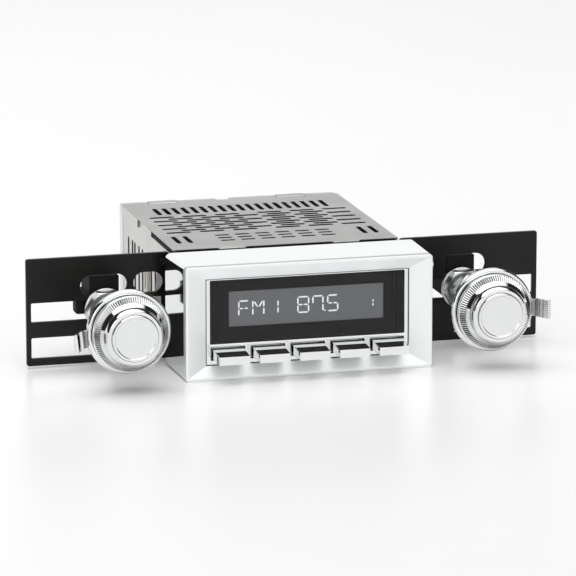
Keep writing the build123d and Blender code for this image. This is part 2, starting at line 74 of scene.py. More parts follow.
# ------------------------------------------------------------------ shader maths
class Tone:
    """A number that varies over a surface, written in ordinary formulas."""

    def __init__(self, shader: "Shader", socket: bpy.types.NodeSocket) -> None:
        """Wraps one output socket of a shader.

        Args:
            shader: the shader that the socket belongs to.
            socket: the output to be used in formulas.
        """
        self.shader = shader
        self.socket = socket

    def _join(self, operation: str, first: "Tone | float", second: "Tone | float") -> "Tone":
        """Adds one Math node. Args: its operation and two values. Returns: its result."""
        return self.shader.tone(
            "ShaderNodeMath", {"operation": operation}, {0: first, 1: second}
        )

    def __add__(self, other: "Tone | float") -> "Tone":
        """This value plus another."""
        return self._join("ADD", self, other)

    __radd__ = __add__

    def __sub__(self, other: "Tone | float") -> "Tone":
        """This value less another."""
        return self._join("SUBTRACT", self, other)

    def __rsub__(self, other: float) -> "Tone":
        """A number less this value."""
        return self._join("SUBTRACT", other, self)

    def __mul__(self, other: "Tone | float") -> "Tone":
        """This value times another."""
        return self._join("MULTIPLY", self, other)

    __rmul__ = __mul__

    def __truediv__(self, other: "Tone | float") -> "Tone":
        """This value divided by another."""
        return self._join("DIVIDE", self, other)

    def __pow__(self, other: float) -> "Tone":
        """This value raised to a power."""
        return self._join("POWER", self, other)

    def over(self, limit: "Tone | float") -> "Tone":
        """1 where this value is above a limit and 0 elsewhere."""
        return self._join("GREATER_THAN", self, limit)

    def under(self, limit: "Tone | float") -> "Tone":
        """1 where this value is below a limit and 0 elsewhere."""
        return self._join("LESS_THAN", self, limit)

    def repeated(self, period: float) -> "Tone":
        """How far this value is into its period, from 0 to 1."""
        return self._join("FRACT", self / period, 0.0)

    def size(self) -> "Tone":
        """This value without its sign."""
        return self._join("ABSOLUTE", self, 0.0)

    def rise(self, start: float, end: float) -> "Tone":
        """0 below the start, 1 above the end, and a smooth step between them.

        Args:
            start: where the step starts.
            end: where it ends.

        Returns:
            The step.
        """
        return self.shader.tone(
            "ShaderNodeMapRange",
            {"interpolation_type": "SMOOTHSTEP"},
            {"Value": self, "From Min": start, "From Max": end},
        )


class Shader:
    """One material and the nodes that are being added to it."""

    def __init__(self, name: str, world: bool = False) -> None:
        """Starts an empty material or surround.

        Args:
            name: its name.
            world: it is a surround.
        """
        owners = bpy.data.worlds if world else bpy.data.materials
        self.material = owners.new(name)
        self.material.use_nodes = True
        self.nodes = self.material.node_tree.nodes
        self.links = self.material.node_tree.links
        self.nodes.clear()
        self.places: Tone | None = None

    def node(
        self, kind: str, settings: dict | None = None, inputs: dict | None = None
    ) -> bpy.types.Node:
        """Adds any node.

        Args:
            kind: the node's type.
            settings: its own properties, set first; "stops" fills a ramp with (place, colour).
            inputs: values, sockets or tones for its inputs, by name or number.

        Returns:
            The new node.
        """
        made = self.nodes.new(kind)
        for key, value in (settings or {}).items():
            if key == "stops":
                ramp = made.color_ramp.elements
                while len(ramp) > 1:
                    ramp.remove(ramp[-1])
                ramp[0].position, ramp[0].color = value[0]
                for place, colour in value[1:]:
                    ramp.new(place).color = colour
            else:
                setattr(made, key, value)
        for key, value in (inputs or {}).items():
            if isinstance(value, Tone):
                value = value.socket
            if isinstance(value, bpy.types.NodeSocket):
                self.links.new(value, made.inputs[key])
            else:
                made.inputs[key].default_value = value
        return made

    def tone(
        self,
        kind: str,
        settings: dict | None = None,
        inputs: dict | None = None,
        output: str | int = 0,
    ) -> Tone:
        """Adds a node as node() does. Returns: one of its outputs as a tone."""
        return Tone(self, self.node(kind, settings, inputs).outputs[output])

    def place(self) -> Tone:
        """Finds the object coordinates, in metres.

        Returns:
            The coordinates, from one node that the whole material shares.
        """
        if self.places is None:
            self.places = self.tone("ShaderNodeTexCoord", output="Object")
        return self.places

    def along(self) -> tuple[Tone, Tone, Tone]:
        """The three object coordinates as separate tones, in metres."""
        split = self.node("ShaderNodeSeparateXYZ", None, {0: self.place()})
        return tuple(Tone(self, socket) for socket in split.outputs)

    def stretched(self, scale: Sequence[float]) -> Tone:
        """Object coordinates, scaled by axis. Args: the three scales. Returns: the vector."""
        return self.tone("ShaderNodeMapping", None, {"Vector": self.place(), "Scale": scale})

    def noise(self, scale: float, detail: float = 3.0, vector: Tone | None = None) -> Tone:
        """Cloudy noise.

        Args:
            scale: features per metre.
            detail: octaves.
            vector: coordinates to use in place of the plain object coordinates.

        Returns:
            The noise, from 0 to 1.
        """
        return self.tone(
            "ShaderNodeTexNoise",
            None,
            {"Vector": vector or self.place(), "Scale": scale, "Detail": detail},
        )

    def cells(self, scale: float, vector: Tone | None = None, output: str = "Distance") -> Tone:
        """Voronoi cells. Args: cells per metre, coordinates, output. Returns: that output."""
        return self.tone(
            "ShaderNodeTexVoronoi",
            None,
            {"Vector": vector or self.place(), "Scale": scale},
            output,
        )

    def mixed(self, share: Tone, first: Sequence[float] | Tone, second: Sequence[float]) -> Tone:
        """Mixes two colours. Args: the share of the second, both colours. Returns: the mix."""
        start = first if isinstance(first, Tone) else (*first, 1.0)
        return self.tone(
            "ShaderNodeMix",
            {"data_type": "RGBA"},
            {0: share, 6: start, 7: (*second, 1.0)},
            2,
        )

    def bump(self, height: Tone, depth: float) -> Tone:
        """A bumped normal. Args: height pattern, depth in metres. Returns: normals."""
        return self.tone("ShaderNodeBump", None, {"Height": height, "Distance": depth})

    def surface(self, inputs: dict) -> bpy.types.Material:
        """Ends the material in a Principled shader.

        Args:
            inputs: the shader's inputs, by name.

        Returns:
            The material.
        """
        principled = self.node("ShaderNodeBsdfPrincipled", None, inputs)
        end = self.node("ShaderNodeOutputMaterial")
        self.links.new(principled.outputs[0], end.inputs[0])
        return self.material


# ------------------------------------------------------------------ finishes
class Grain(Enum):
    """Which way the polishing or rolling lines of a metal run, as scales by axis."""

    NONE = (1.0, 1.0, 1.0)
    ACROSS = (0.03, 1.0, 1.0)
    BACK = (1.0, 0.03, 1.0)
    UP = (1.0, 1.0, 0.03)


@dataclass(frozen=True)
class Metal:
    """A bare, plated or rolled metal.

    Its colour clouds a little, and its roughness varies with the same lines that its bump shows.
    Spangle gives it crystal flakes. Satin is added roughness ahead of the depth satin_to, with a
    paler colour of its own there, which is painted light.
    """

    name: str
    colour: tuple[float, float, float]
    shade: tuple[float, float, float]
    roughness: float
    spread: float
    scale: float
    depth: float
    grain: Grain = Grain.NONE
    clouds: float = 60.0
    spangle: float = 0.0
    satin_to: float = 0.0
    satin: float = 0.0
    satin_colour: tuple[float, float, float] = (0.0, 0.0, 0.0)

    def build(self) -> bpy.types.Material:
        """Makes the material.

        Returns:
            The material.
        """
        shader = Shader(self.name)
        lines = shader.noise(self.scale, 4.0, shader.stretched(self.grain.value))
        clouds = shader.noise(self.clouds, 3.0)
        share = (clouds * 0.7 + lines * 0.3).rise(0.3, 0.72)
        colour = shader.mixed(share, self.colour, self.shade)
        if self.spangle:
            flakes = shader.cells(self.spangle, None, "Color")
            colour = shader.mixed(
                shader.tone("ShaderNodeSeparateXYZ", None, {0: flakes}) * 0.35,
                colour,
                self.shade,
            )
        rough = (lines - 0.5) * self.spread + (clouds - 0.5) * self.spread + self.roughness
        if self.satin:
            edge, blend = (FRONT_Y + self.satin_to) * MM, 0.1 * MM
            ahead = 1.0 - shader.along()[1].rise(edge - blend, edge + blend)
            rough = rough + ahead * self.satin
            # Painted light: faces ahead of the edge take the paler satin colour.
            colour = shader.mixed(ahead, colour, self.satin_colour)
        return shader.surface(
            {
                "Base Color": colour,
                "Metallic": 1.0,
                "Roughness": rough,
                "Normal": shader.bump(lines, self.depth),
            }
        )


@dataclass(frozen=True)
class Moulded:
    """A moulded plastic or a powder coat: a fine pebble grain with slight mottling."""

    name: str
    colour: tuple[float, float, float]
    shade: tuple[float, float, float]
    roughness: float
    spread: float
    scale: float
    depth: float
    specular: float = 0.5
    dust: float = 0.0
    dust_colour: tuple[float, float, float] = (0.2, 0.19, 0.17)

    def build(self) -> bpy.types.Material:
        """Makes the material.

        Returns:
            The material.
        """
        shader = Shader(self.name)
        pebbles = shader.cells(self.scale)
        grain = shader.noise(self.scale * 0.6, 2.0)
        clouds = shader.noise(45.0, 4.0)
        colour = shader.mixed(clouds.rise(0.35, 0.7), self.colour, self.shade)
        if self.dust:
            specks = shader.noise(900.0, 2.0).rise(0.66, 0.78) * self.dust
            colour = shader.mixed(specks, colour, self.dust_colour)
        rough = (clouds - 0.5) * self.spread + (grain - 0.5) * self.spread + self.roughness
        return shader.surface(
            {
                "Base Color": colour,
                "Roughness": rough,
                "Specular IOR Level": self.specular,
                "Normal": shader.bump(pebbles * 0.6 + grain * 0.4, self.depth),
            }
        )


@dataclass(frozen=True)
class SmokedWindow:
    """A dark transparent window with a hard, faintly wiped gloss."""

    name: str
    colour: tuple[float, float, float]
    cover: float

    def build(self) -> bpy.types.Material:
        """Makes the material.

        Returns:
            The material.
        """
        shader = Shader(self.name)
        wipes = shader.noise(80.0, 3.0, shader.stretched((1.0, 1.0, 0.3)))
        cover = (wipes - 0.5) * 0.02 + self.cover
        paler = tuple(share * 1.3 for share in self.colour)
        return shader.surface(
            {
                "Base Color": shader.mixed(wipes, self.colour, paler),
                "Roughness": wipes.rise(0.45, 0.75) * 0.03 + 0.02,
                "Alpha": cover,
                "Specular IOR Level": 0.5,
            }
        )


@dataclass(frozen=True)
class DisplayCells:
    """The grey face of a display, with its faint grid of cells."""

    name: str
    colour: tuple[float, float, float]
    glow: float
    pitch: float = 0.42
    edge_share: float = 0.12

    def build(self) -> bpy.types.Material:
        """Makes the material: a grid of lines is a cell's edge in either direction.

        Returns:
            The material.
        """
        shader = Shader(self.name)
        across, _, up = shader.along()
        pitch = self.pitch * MM
        edge = self.edge_share
        lines = 1.0 - across.repeated(pitch).over(edge) * up.repeated(pitch).over(edge)
        clouds = shader.noise(18.0, 2.0)
        grey = shader.mixed(
            lines * 0.25 + clouds * 0.3, self.colour, tuple(c * 0.7 for c in self.colour)
        )
        return shader.surface(
            {
                "Base Color": grey,
                "Roughness": (clouds - 0.5) * 0.1 + 0.35,
                "Emission Color": grey,
                "Emission Strength": self.glow,
                "Normal": shader.bump(lines, 0.00001),
            }
        )


@dataclass(frozen=True)
class Lit:
    """Something that glows, its tint clouded a little."""

    name: str
    colour: tuple[float, float, float]
    glow: float

    def build(self) -> bpy.types.Material:
        """Makes the material.

        Returns:
            The material.
        """
        shader = Shader(self.name)
        clouds = shader.noise(300.0, 2.0)
        tint = shader.mixed(clouds * 0.3, self.colour, tuple(c * 0.8 for c in self.colour))
        return shader.surface(
            {
                "Base Color": tint,
                "Roughness": (clouds - 0.5) * 0.1 + 0.5,
                "Emission Color": tint,
                "Emission Strength": self.glow,
            }
        )


@dataclass(frozen=True)
class PrintedBoard:
    """Green solder mask over copper runs, with tinned pads on a grid."""

    name: str
    mask: tuple[float, float, float] = (0.008, 0.075, 0.03)
    run: tuple[float, float, float] = (0.02, 0.14, 0.05)
    pad: tuple[float, float, float] = (0.62, 0.6, 0.55)
    pad_pitch: float = 5.08
    pad_share: float = 0.016

    def build(self) -> bpy.types.Material:
        """Makes the material: runs are bands of blocky noise, pads are discs on a grid.

        Returns:
            The material.
        """
        shader = Shader(self.name)
        across, back, _ = shader.along()
        blocks = shader.tone(
            "ShaderNodeTexVoronoi",
            {"distance": "MANHATTAN", "feature": "F2"},
            {"Vector": shader.place(), "Scale": 260.0},
        )
        runs = blocks.repeated(0.16).rise(0.62, 0.7)
        pitch = self.pad_pitch * MM
        aside = (across.repeated(pitch) - 0.5) ** 2 + (back.repeated(pitch) - 0.5) ** 2
        pads = aside.under(self.pad_share)
        colour = shader.mixed(runs, self.mask, self.run)
        colour = shader.mixed(pads, colour, self.pad)
        return shader.surface(
            {
                "Base Color": colour,
                "Metallic": pads * 0.8,
                "Roughness": runs * 0.1 + 0.32,
                "Normal": shader.bump(runs + pads, 0.00005),
            }
        )


@dataclass(frozen=True)
class Striped:
    """A flat cable or a shrink sleeve: stripes of a second colour across one axis."""

    name: str
    colour: tuple[float, float, float]
    stripe: tuple[float, float, float]
    pitch: float
    share: float
    axis: int
    roughness: float
    depth: float

    def build(self) -> bpy.types.Material:
        """Makes the material.

        Returns:
            The material.
        """
        shader = Shader(self.name)
        stripes = shader.along()[self.axis].repeated(self.pitch * MM).under(self.share)
        clouds = shader.noise(120.0, 3.0)
        return shader.surface(
            {
                "Base Color": shader.mixed(stripes, self.colour, self.stripe),
                "Roughness": (clouds - 0.5) * 0.12 + self.roughness,
                "Normal": shader.bump(stripes, self.depth),
            }
        )


class Finish(Enum):
    """Every finish on the radio."""

    CHROME = Metal(
        "chrome_plate", (0.765, 0.775, 0.775), (0.735, 0.745, 0.745), 0.045, 0.02, 900, 2e-7
    )
    # The bezel's front slopes get satin: added roughness, and a paler colour that is painted light.
    BEZEL = Metal(
        "bezel_chrome", (0.775, 0.795, 0.80), (0.755, 0.775, 0.785), 0.05, 0.02, 900, 2e-7,
        satin_to=3.35, satin=0.4, satin_colour=(0.86, 0.875, 0.88),
    )
    STEEL = Metal(
        "zinc_sheet", (0.64, 0.645, 0.63), (0.58, 0.585, 0.57), 0.34, 0.1, 1500, 4e-6, Grain.ACROSS,
        clouds=40.0, spangle=160.0,
    )
    # Painted shade: near-black for the far faces and hole walls of the tub and the cover.
    INSIDE = Moulded(
        "sheet_inside", (0.035, 0.035, 0.034), (0.028, 0.028, 0.027), 0.6, 0.1, 1500, 2e-6,
        specular=0.2,
    )
    TIN = Metal(
        "tin_can", (0.74, 0.73, 0.7), (0.62, 0.61, 0.58), 0.22, 0.1, 500, 8e-6,
        clouds=50.0, spangle=90.0,
    )
    ALUMINIUM = Metal(
        "extruded_aluminium", (0.84, 0.845, 0.85), (0.78, 0.785, 0.79), 0.4, 0.12, 2500, 8e-6,
        Grain.UP,
    )
    NICKEL = Metal(
        "nickel_plate", (0.70, 0.71, 0.71), (0.62, 0.63, 0.63), 0.3, 0.08, 1600, 2e-6
    )
    # Painted shade: a dark metal for the floors of grooves, and a darker chrome for the lever's
    # hollow neck.
    GROOVE = Metal("groove_shade", (0.2, 0.2, 0.2), (0.15, 0.15, 0.15), 0.35, 0.05, 900, 2e-7)
    SHADED = Metal("hollow_shade", (0.30, 0.30, 0.29), (0.24, 0.24, 0.23), 0.22, 0.05, 900, 2e-7)
    ZINC = Metal("zinc_screw", (0.66, 0.66, 0.63), (0.55, 0.55, 0.5), 0.3, 0.12, 1500, 5e-6)
    BRASS = Metal(
        "brass_pin", (0.83, 0.63, 0.3), (0.72, 0.52, 0.22), 0.22, 0.08, 1800, 3e-6, Grain.BACK
    )
    COAT = Moulded(
        "black_coat", (0.006, 0.006, 0.0055), (0.009, 0.009, 0.008), 0.3, 0.1, 2400, 5e-6,
        specular=0.22, dust=0.2, dust_colour=(0.05, 0.05, 0.045),
    )
    PLASTIC = Moulded(
        "black_plastic_grain", (0.007, 0.007, 0.007), (0.0085, 0.0085, 0.0082), 0.7, 0.06, 3200,
        6e-7, specular=0.2,
    )
    PALE = Moulded(
        "pale_nylon", (0.76, 0.74, 0.68), (0.7, 0.68, 0.61), 0.42, 0.12, 2600, 8e-6,
        dust=0.2, dust_colour=(0.35, 0.33, 0.28),
    )
    RED = Moulded("red_insert", (0.42, 0.015, 0.012), (0.36, 0.012, 0.01), 0.3, 0.1, 2600, 5e-6)
    WINDOW = SmokedWindow("smoked_window", (0.006, 0.006, 0.006), 0.42)
    DISPLAY = DisplayCells("display_face", (0.16, 0.165, 0.175), 2.0)
    SEGMENT = Lit("display_segment", (0.93, 0.96, 1.0), 2.4)
    BOARD = PrintedBoard("printed_board")
    RIBBON = Striped(
        "flat_cable", (0.42, 0.43, 0.45), (0.3, 0.31, 0.34), 1.27, 0.25, 0, 0.4, 1e-4
    )
    SLEEVE = Striped(
        "shrink_sleeve", (0.01, 0.014, 0.05), (0.5, 0.5, 0.48), 22.4, 0.1, 2, 0.25, 0.0
    )

    @property
    def material(self) -> bpy.types.Material:
        """The finish's material, made the first time that it is asked for."""
        return bpy.data.materials.get(self.value.name) or self.value.build()


SLOT_FINISH = {
    "chrome": Finish.CHROME,
    "chassis_steel": Finish.STEEL,
    "black_steel": Finish.COAT,
    "black_plastic": Finish.PLASTIC,
    "smoked_lens": Finish.WINDOW,
    "lcd_glass": Finish.DISPLAY,
    "diffuser": Finish.PALE,
    "circuit_board": Finish.BOARD,
    "tinned_steel": Finish.TIN,
    "aluminium": Finish.ALUMINIUM,
    "nickel": Finish.NICKEL,
    "screw_steel": Finish.ZINC,
    "contact_brass": Finish.BRASS,
    "capacitor_sleeve": Finish.SLEEVE,
    "ribbon": Finish.RIBBON,
}


# ------------------------------------------------------------------ surfaces
@dataclass
class Shell:
    """One closed surface: its points in millimetres, its faces, and its finish's number."""

    points: np.ndarray
    faces: list[tuple[int, ...]]
    paint: int | Sequence[int] = 0

    def paints(self) -> list[int]:
        """The finish number of each face."""
        return [self.paint] * len(self.faces) if isinstance(self.paint, int) else list(self.paint)

    def painted(self, paint: int) -> "Shell":
        """The same surface with another finish number."""
        return Shell(self.points, self.faces, paint)

    @classmethod
    def joined(cls, shells: Sequence["Shell"]) -> "Shell":
        """Makes one surface of several.

        A face's point numbers grow by the number of points in the surfaces before its own.

        Args:
            shells: the surfaces.

        Returns:
            The surface, with each face's finish number kept.
        """
        starts = np.cumsum([0] + [len(shell.points) for shell in shells[:-1]]).tolist()
        faces = [
            tuple(number + start for number in face)
            for shell, start in zip(shells, starts)
            for face in shell.faces
        ]
        paint = [number for shell in shells for number in shell.paints()]
        return cls(np.concatenate([shell.points for shell in shells]), faces, paint)

    def turned(self, degrees: float, x: float, z: float) -> "Shell":
        """Turns the surface about a line along Y.

        Args:
            degrees: the turn, clockwise as seen from the front.
            x: where the line lies across.
            z: the line's height.

        Returns:
            The turned surface: each point's arm from the line is rotated by the angle.
        """
        turn = math.radians(degrees)
        arm = self.points - (x, 0.0, z)
        points = np.stack(
            [
                x + arm[:, 0] * math.cos(turn) + arm[:, 2] * math.sin(turn),
                self.points[:, 1],
                z + arm[:, 2] * math.cos(turn) - arm[:, 0] * math.sin(turn),
            ],
            1,
        )
        return Shell(points, self.faces, self.paint)


def grid_shell(grid: np.ndarray, wrap_rows: bool = False, ends: bool = True) -> Shell:
    """Joins a grid of points, closed along its columns, into a surface.

    Each face joins a point to its neighbours in the next row and the next column.

    Args:
        grid: points as rows, columns and the three coordinates.
        wrap_rows: joins the last row to the first, as on a frame or a ring.
        ends: closes the first and last rows with one face each, where the rows aren't joined.

    Returns:
        The surface.
    """
    rows, columns = grid.shape[:2]
    number = np.arange(rows * columns).reshape(rows, columns)
    below = np.roll(number, -1, 0) if wrap_rows else number[1:]
    above = number if wrap_rows else number[:-1]
    quads = np.stack([above, np.roll(above, -1, 1), np.roll(below, -1, 1), below], -1)
    faces = [tuple(face) for face in quads.reshape(-1, 4).tolist()]
    if ends and not wrap_rows:
        faces.append(tuple(number[0][::-1].tolist()))
        faces.append(tuple(number[-1].tolist()))
    return Shell(grid.reshape(-1, 3), faces)


def eased(
    path: Sequence[Sequence[float]], reach: float, steps: int = 4, ring: bool = False
) -> np.ndarray:
    """Rounds every corner of a path.

    A corner P becomes the curve (1-t)^2 A + 2t(1-t) P + t^2 B, where A and B lie on the two
    runs at the reach from P, or at under half a run that is short.

    Args:
        path: the corners, with any number of coordinates each.
        reach: how far from a corner its curve starts.
        steps: points on each curve, less one.
        ring: the path is closed.

    Returns:
        The points of the rounded path.
    """
    points = np.asarray(path, float)
    before, after = np.roll(points, 1, 0), np.roll(points, -1, 0)
    most = 0.45

    def toward(other: np.ndarray) -> np.ndarray:
        """Finds where the curves meet the runs.

        Args:
            other: each corner's neighbour.

        Returns:
            Points on the runs to the neighbours, at the reach from each corner.
        """
        run = other - points
        length = np.linalg.norm(run, axis=1, keepdims=True)
        return points + run * np.minimum(reach / np.maximum(length, TINY), most)

    start, end = toward(before)[:, None], toward(after)[:, None]
    t = np.linspace(0.0, 1.0, steps + 1)[None, :, None]
    curve = (1 - t) ** 2 * start + 2 * t * (1 - t) * points[:, None] + t**2 * end
    if ring:
        return curve.reshape(-1, points.shape[1])
    inner = curve[1:-1].reshape(-1, points.shape[1])
    return np.vstack([points[:1], inner, points[-1:]])


def dense(path: np.ndarray, spacing: float) -> np.ndarray:
    """Adds points along a path so that no run is longer than the spacing.

    Points are read off at even steps of the length walked so far, besides the path's own.

    Args:
        path: the path's points.
        spacing: the longest run that is wanted.

    Returns:
        The path with its extra points.
    """
    walked = np.concatenate([[0.0], np.cumsum(np.linalg.norm(np.diff(path, axis=0), axis=1))])
    even = np.linspace(0.0, walked[-1], max(2, math.ceil(walked[-1] / spacing) + 1))
    places = np.unique(np.round(np.concatenate([walked, even]), 5))
    return np.stack([np.interp(places, walked, column) for column in path.T], 1)


# From radii, depths and angles to new radii and depths, and from a pattern's two coordinates and
# the depth below its face to points.
Relief = Callable[[np.ndarray, np.ndarray, np.ndarray], tuple[np.ndarray, np.ndarray]]
Laying = Callable[[np.ndarray, np.ndarray, np.ndarray], np.ndarray]


def spun(
    profile: np.ndarray, x: float, z: float, columns: int = 96, relief: Relief | None = None
) -> Shell:
    """Turns a profile about a line along Y.

    A point is (x + r cos a, front + d, z + r sin a), for a profile point (r, d) and an angle a.

    Args:
        profile: radii and depths.
        x: where the line lies across.
        z: the line's height.
        columns: points round the line.
        relief: gives new radii and depths for radii, depths and angles, such as teeth.

    Returns:
        The surface.
    """
    angle = np.arange(columns)[None, :] * (2 * math.pi / columns)
    radius = np.repeat(profile[:, :1], columns, 1)
    depth = np.repeat(profile[:, 1:2], columns, 1)
    if relief:
        radius, depth = relief(radius, depth, np.repeat(angle, len(profile), 0))
    grid = np.stack(
        [x + radius * np.cos(angle), FRONT_Y + depth, z + radius * np.sin(angle)], -1
    )
    return grid_shell(grid)


def loops(rows: np.ndarray, x: float = 0.0, corner_steps: int = 6, ring: bool = False) -> Shell:
    """Joins rounded rectangles that lie one behind another.

    A corner's points are its centre plus the radius times (cos a, sin a), over a quarter turn.

    Args:
        rows: half width, half height, corner radius, depth and middle height of each rectangle.
        x: where their middles lie across.
        corner_steps: runs round each corner.
        ring: joins the last rectangle to the first, as on a frame.

    Returns:
        The surface.
    """
    wide, high, radius, depth, middle = (column[:, None] for column in rows.T)
    quarter = np.linspace(0.0, math.pi / 2, corner_steps + 1)
    angle = np.concatenate([quarter + i * math.pi / 2 for i in range(4)])[None, :]
    side = np.repeat([1.0, -1.0, -1.0, 1.0], corner_steps + 1)[None, :]
    upper = np.repeat([1.0, 1.0, -1.0, -1.0], corner_steps + 1)[None, :]
    grid = np.stack(
        [
            x + side * (wide - radius) + radius * np.cos(angle),
            np.repeat(FRONT_Y + depth, angle.size, 1),
            middle + upper * (high - radius) + radius * np.sin(angle),
        ],
        -1,
    )
    return grid_shell(grid, wrap_rows=ring)


def slab(outline: np.ndarray, front: float, rear: float) -> Shell:
    """A flat plate that faces the front: its outline at two depths.

    Args:
        outline: its points' X and Z.
        front: the depth of its face.
        rear: the depth of its back.

    Returns:
        The plate.
    """
    layer = np.stack([outline[:, 0], np.zeros(len(outline)), outline[:, 1]], -1)
    return grid_shell(
        np.stack([layer + (0, FRONT_Y + front, 0), layer + (0, FRONT_Y + rear, 0)])
    )


def hexagon(across_corners: float, degrees: float, lead: float) -> Relief:
    """The relief of a six-sided nut, for spun().

    The radius is the smaller of the profile's, which carries the lead chamfer, and that of the
    flat side, which is the side's distance over the cosine of the angle from its middle.

    Args:
        across_corners: the distance from the axis to a corner.
        degrees: where a corner lies.
        lead: radii up to this one, such as the bore's, keep their round shape.

    Returns:
        The relief.
    """

    def relief(
        radius: np.ndarray, depth: np.ndarray, angle: np.ndarray
    ) -> tuple[np.ndarray, np.ndarray]:
        """Cuts the six flats.

        Args:
            radius: the profile's radii.
            depth: its depths.
            angle: the angles round the line.

        Returns:
            The new radii and depths.
        """
        sixth = math.pi / 3
        aside = np.mod(angle - math.radians(degrees), sixth) - sixth / 2
        flat = across_corners * math.cos(sixth / 2) / np.cos(aside)
        return np.where(radius > lead, np.minimum(radius, flat), radius), depth

    return relief


def thread(start: float, end: float, pitch: float, height: float, least: float) -> Relief:
    """The relief of a screw thread, for spun().

    The cut is the height times a triangle wave of depth over pitch plus the turn's share.

    Args:
        start: the depth where the thread starts.
        end: the depth where it ends.
        pitch: the distance between turns.
        height: how deep the thread is cut.
        least: only radii above this one are cut.

    Returns:
        The relief.
    """

    def relief(
        radius: np.ndarray, depth: np.ndarray, angle: np.ndarray
    ) -> tuple[np.ndarray, np.ndarray]:
        """Cuts the thread.

        Args:
            radius: the profile's radii.
            depth: its depths.
            angle: the angles round the line.

        Returns:
            The new radii and depths.
        """
        turn = np.mod(depth / pitch + angle / (2 * math.pi), 1.0)
        cut = height * (1 - np.abs(2 * turn - 1))
        held = (radius > least) & (depth > start) & (depth < end)
        return radius - np.where(held, cut, 0.0), depth

    return relief


def piece(
    name: str,
    shells: Sequence[Shell],
    finishes: Sequence[Finish],
    node: str,
    sharp: float = 32.0,
    stands_for: bool = True,
) -> None:
    """Makes one object from closed surfaces and hangs it on the body of a CAD node.

    Points closer than the merging distance become one, and normals are turned outwards and
    weighted by face area, so that flats stay flat beside rounded edges.

    Args:
        name: the piece's name.
        shells: its surfaces.
        finishes: the finishes that the surfaces' numbers choose from.
        node: the CAD node that gives its body.
        sharp: edges that turn by more than this many degrees stay sharp.
        stands_for: the CAD node is hidden.
    """
    whole = Shell.joined(shells)
    mesh = bpy.data.meshes.new(name)
    mesh.from_pydata((whole.points * MM).tolist(), [], whole.faces)
    mesh.polygons.foreach_set("material_index", whole.paints())
    made = bpy.data.objects.new(name, mesh)
    bpy.context.scene.collection.objects.link(made)
    merging, shortest = 0.002 * MM, 0.0005 * MM
    tidy = bmesh.new()
    tidy.from_mesh(mesh)
    bmesh.ops.remove_doubles(tidy, verts=tidy.verts, dist=merging)
    bmesh.ops.dissolve_degenerate(tidy, edges=tidy.edges, dist=shortest)
    bmesh.ops.recalc_face_normals(tidy, faces=tidy.faces)
    tidy.to_mesh(mesh)
    tidy.free()
    mesh.shade_smooth()
    mesh.set_sharp_from_angle(angle=math.radians(sharp))
    weights = made.modifiers.new("even_normals", "WEIGHTED_NORMAL")
    weights.keep_sharp = True
    weights.weight = 60
    for finish in finishes:
        made.data.materials.append(finish.material)
    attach(made, BODY_OF_NODE[node])
    if stands_for:
        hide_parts(node)
    LOG.info("%s rides on %s, %d faces", made.name, BODY_OF_NODE[node], len(made.data.polygons))


# ------------------------------------------------------------------ plates and sheets
def rectangle(
    x0: float, x1: float, y0: float, y1: float, radius: float, steps: int = 4
) -> np.ndarray:
    """A rounded rectangle: each corner's centre plus the radius times (cos a, sin a).

    Args:
        x0: its left.
        x1: its right.
        y0: its lower side.
        y1: its upper side.
        radius: the corners' radius.
        steps: runs round each corner.

    Returns:
        Its points, in order.
    """
    quarter = np.linspace(0.0, math.pi / 2, steps + 1)
    angle = np.concatenate([quarter + i * math.pi / 2 for i in range(4)])
    right = np.repeat([x1 - radius, x0 + radius, x0 + radius, x1 - radius], steps + 1)
    upper = np.repeat([y1 - radius, y1 - radius, y0 + radius, y0 + radius], steps + 1)
    return np.stack([right + radius * np.cos(angle), upper + radius * np.sin(angle)], 1)


def slot(x: float, y: float, length: float, width: float, steps: int = 4) -> np.ndarray:
    """A round-ended slot: a rectangle whose corners nearly meet at its ends.

    Args:
        x: its middle along the first axis.
        y: its middle along the second.
        length: its size along the first axis.
        width: its size along the second.
        steps: runs round each corner.

    Returns:
        Its points.
    """
    radius = min(length, width) / 2.001
    ends = x - length / 2, x + length / 2, y - width / 2, y + width / 2
    return rectangle(*ends, radius, steps)


def circle(x: float, y: float, radius: float, count: int = 32) -> np.ndarray:
    """Points on a circle. Args: its middle, radius and number of points. Returns: them."""
    angle = np.arange(count) * (2 * math.pi / count)
    return np.stack([x + radius * np.cos(angle), y + radius * np.sin(angle)], 1)


def facing(front: float) -> Laying:
    """Lays a sheet in a plane that faces the front. Args: its depth. Returns: the laying."""
    return lambda u, v, w: np.stack([u, FRONT_Y + front + w, v], -1)


def level(top: float) -> Laying:
    """Lays a sheet flat. Args: the height of its top. Returns: the laying."""
    return lambda u, v, w: np.stack([u, FRONT_Y + v, top - w], -1)


def folded(inside: float, bend: float, lay: Laying) -> Laying:
    """Folds both sides of a flat pattern through a right angle.

    Beyond the bend's start the pattern follows a quarter circle, and then runs on along the side:
    with s the length past the start and R the bend's radius, the turn is s / R, at most a right
    angle. The section's place is start + R sin(turn) along and R (1 - cos(turn)) aside.

    Args:
        inside: where the bends start, either side of the middle.
        bend: their radius, on the outside of the sheet.
        lay: places the section: its along, its aside and the pattern's other coordinate.

    Returns:
        The laying.
    """

    def laid(u: np.ndarray, v: np.ndarray, w: np.ndarray) -> np.ndarray:
        """Places points of the pattern.

        Args:
            u: the pattern's first coordinate.
            v: its second coordinate.
            w: the depth below its face.

        Returns:
            The points.
        """
        past = (np.abs(u) - inside).clip(0, None)
        turn = (past / bend).clip(0, math.pi / 2)
        rest = past - turn * bend
        along = np.abs(u) - past + (bend - w) * np.sin(turn) + rest * np.cos(turn)
        aside = bend - (bend - w) * np.cos(turn) + rest * np.sin(turn)
        return lay(np.sign(u) * along, aside, v)

    return laid


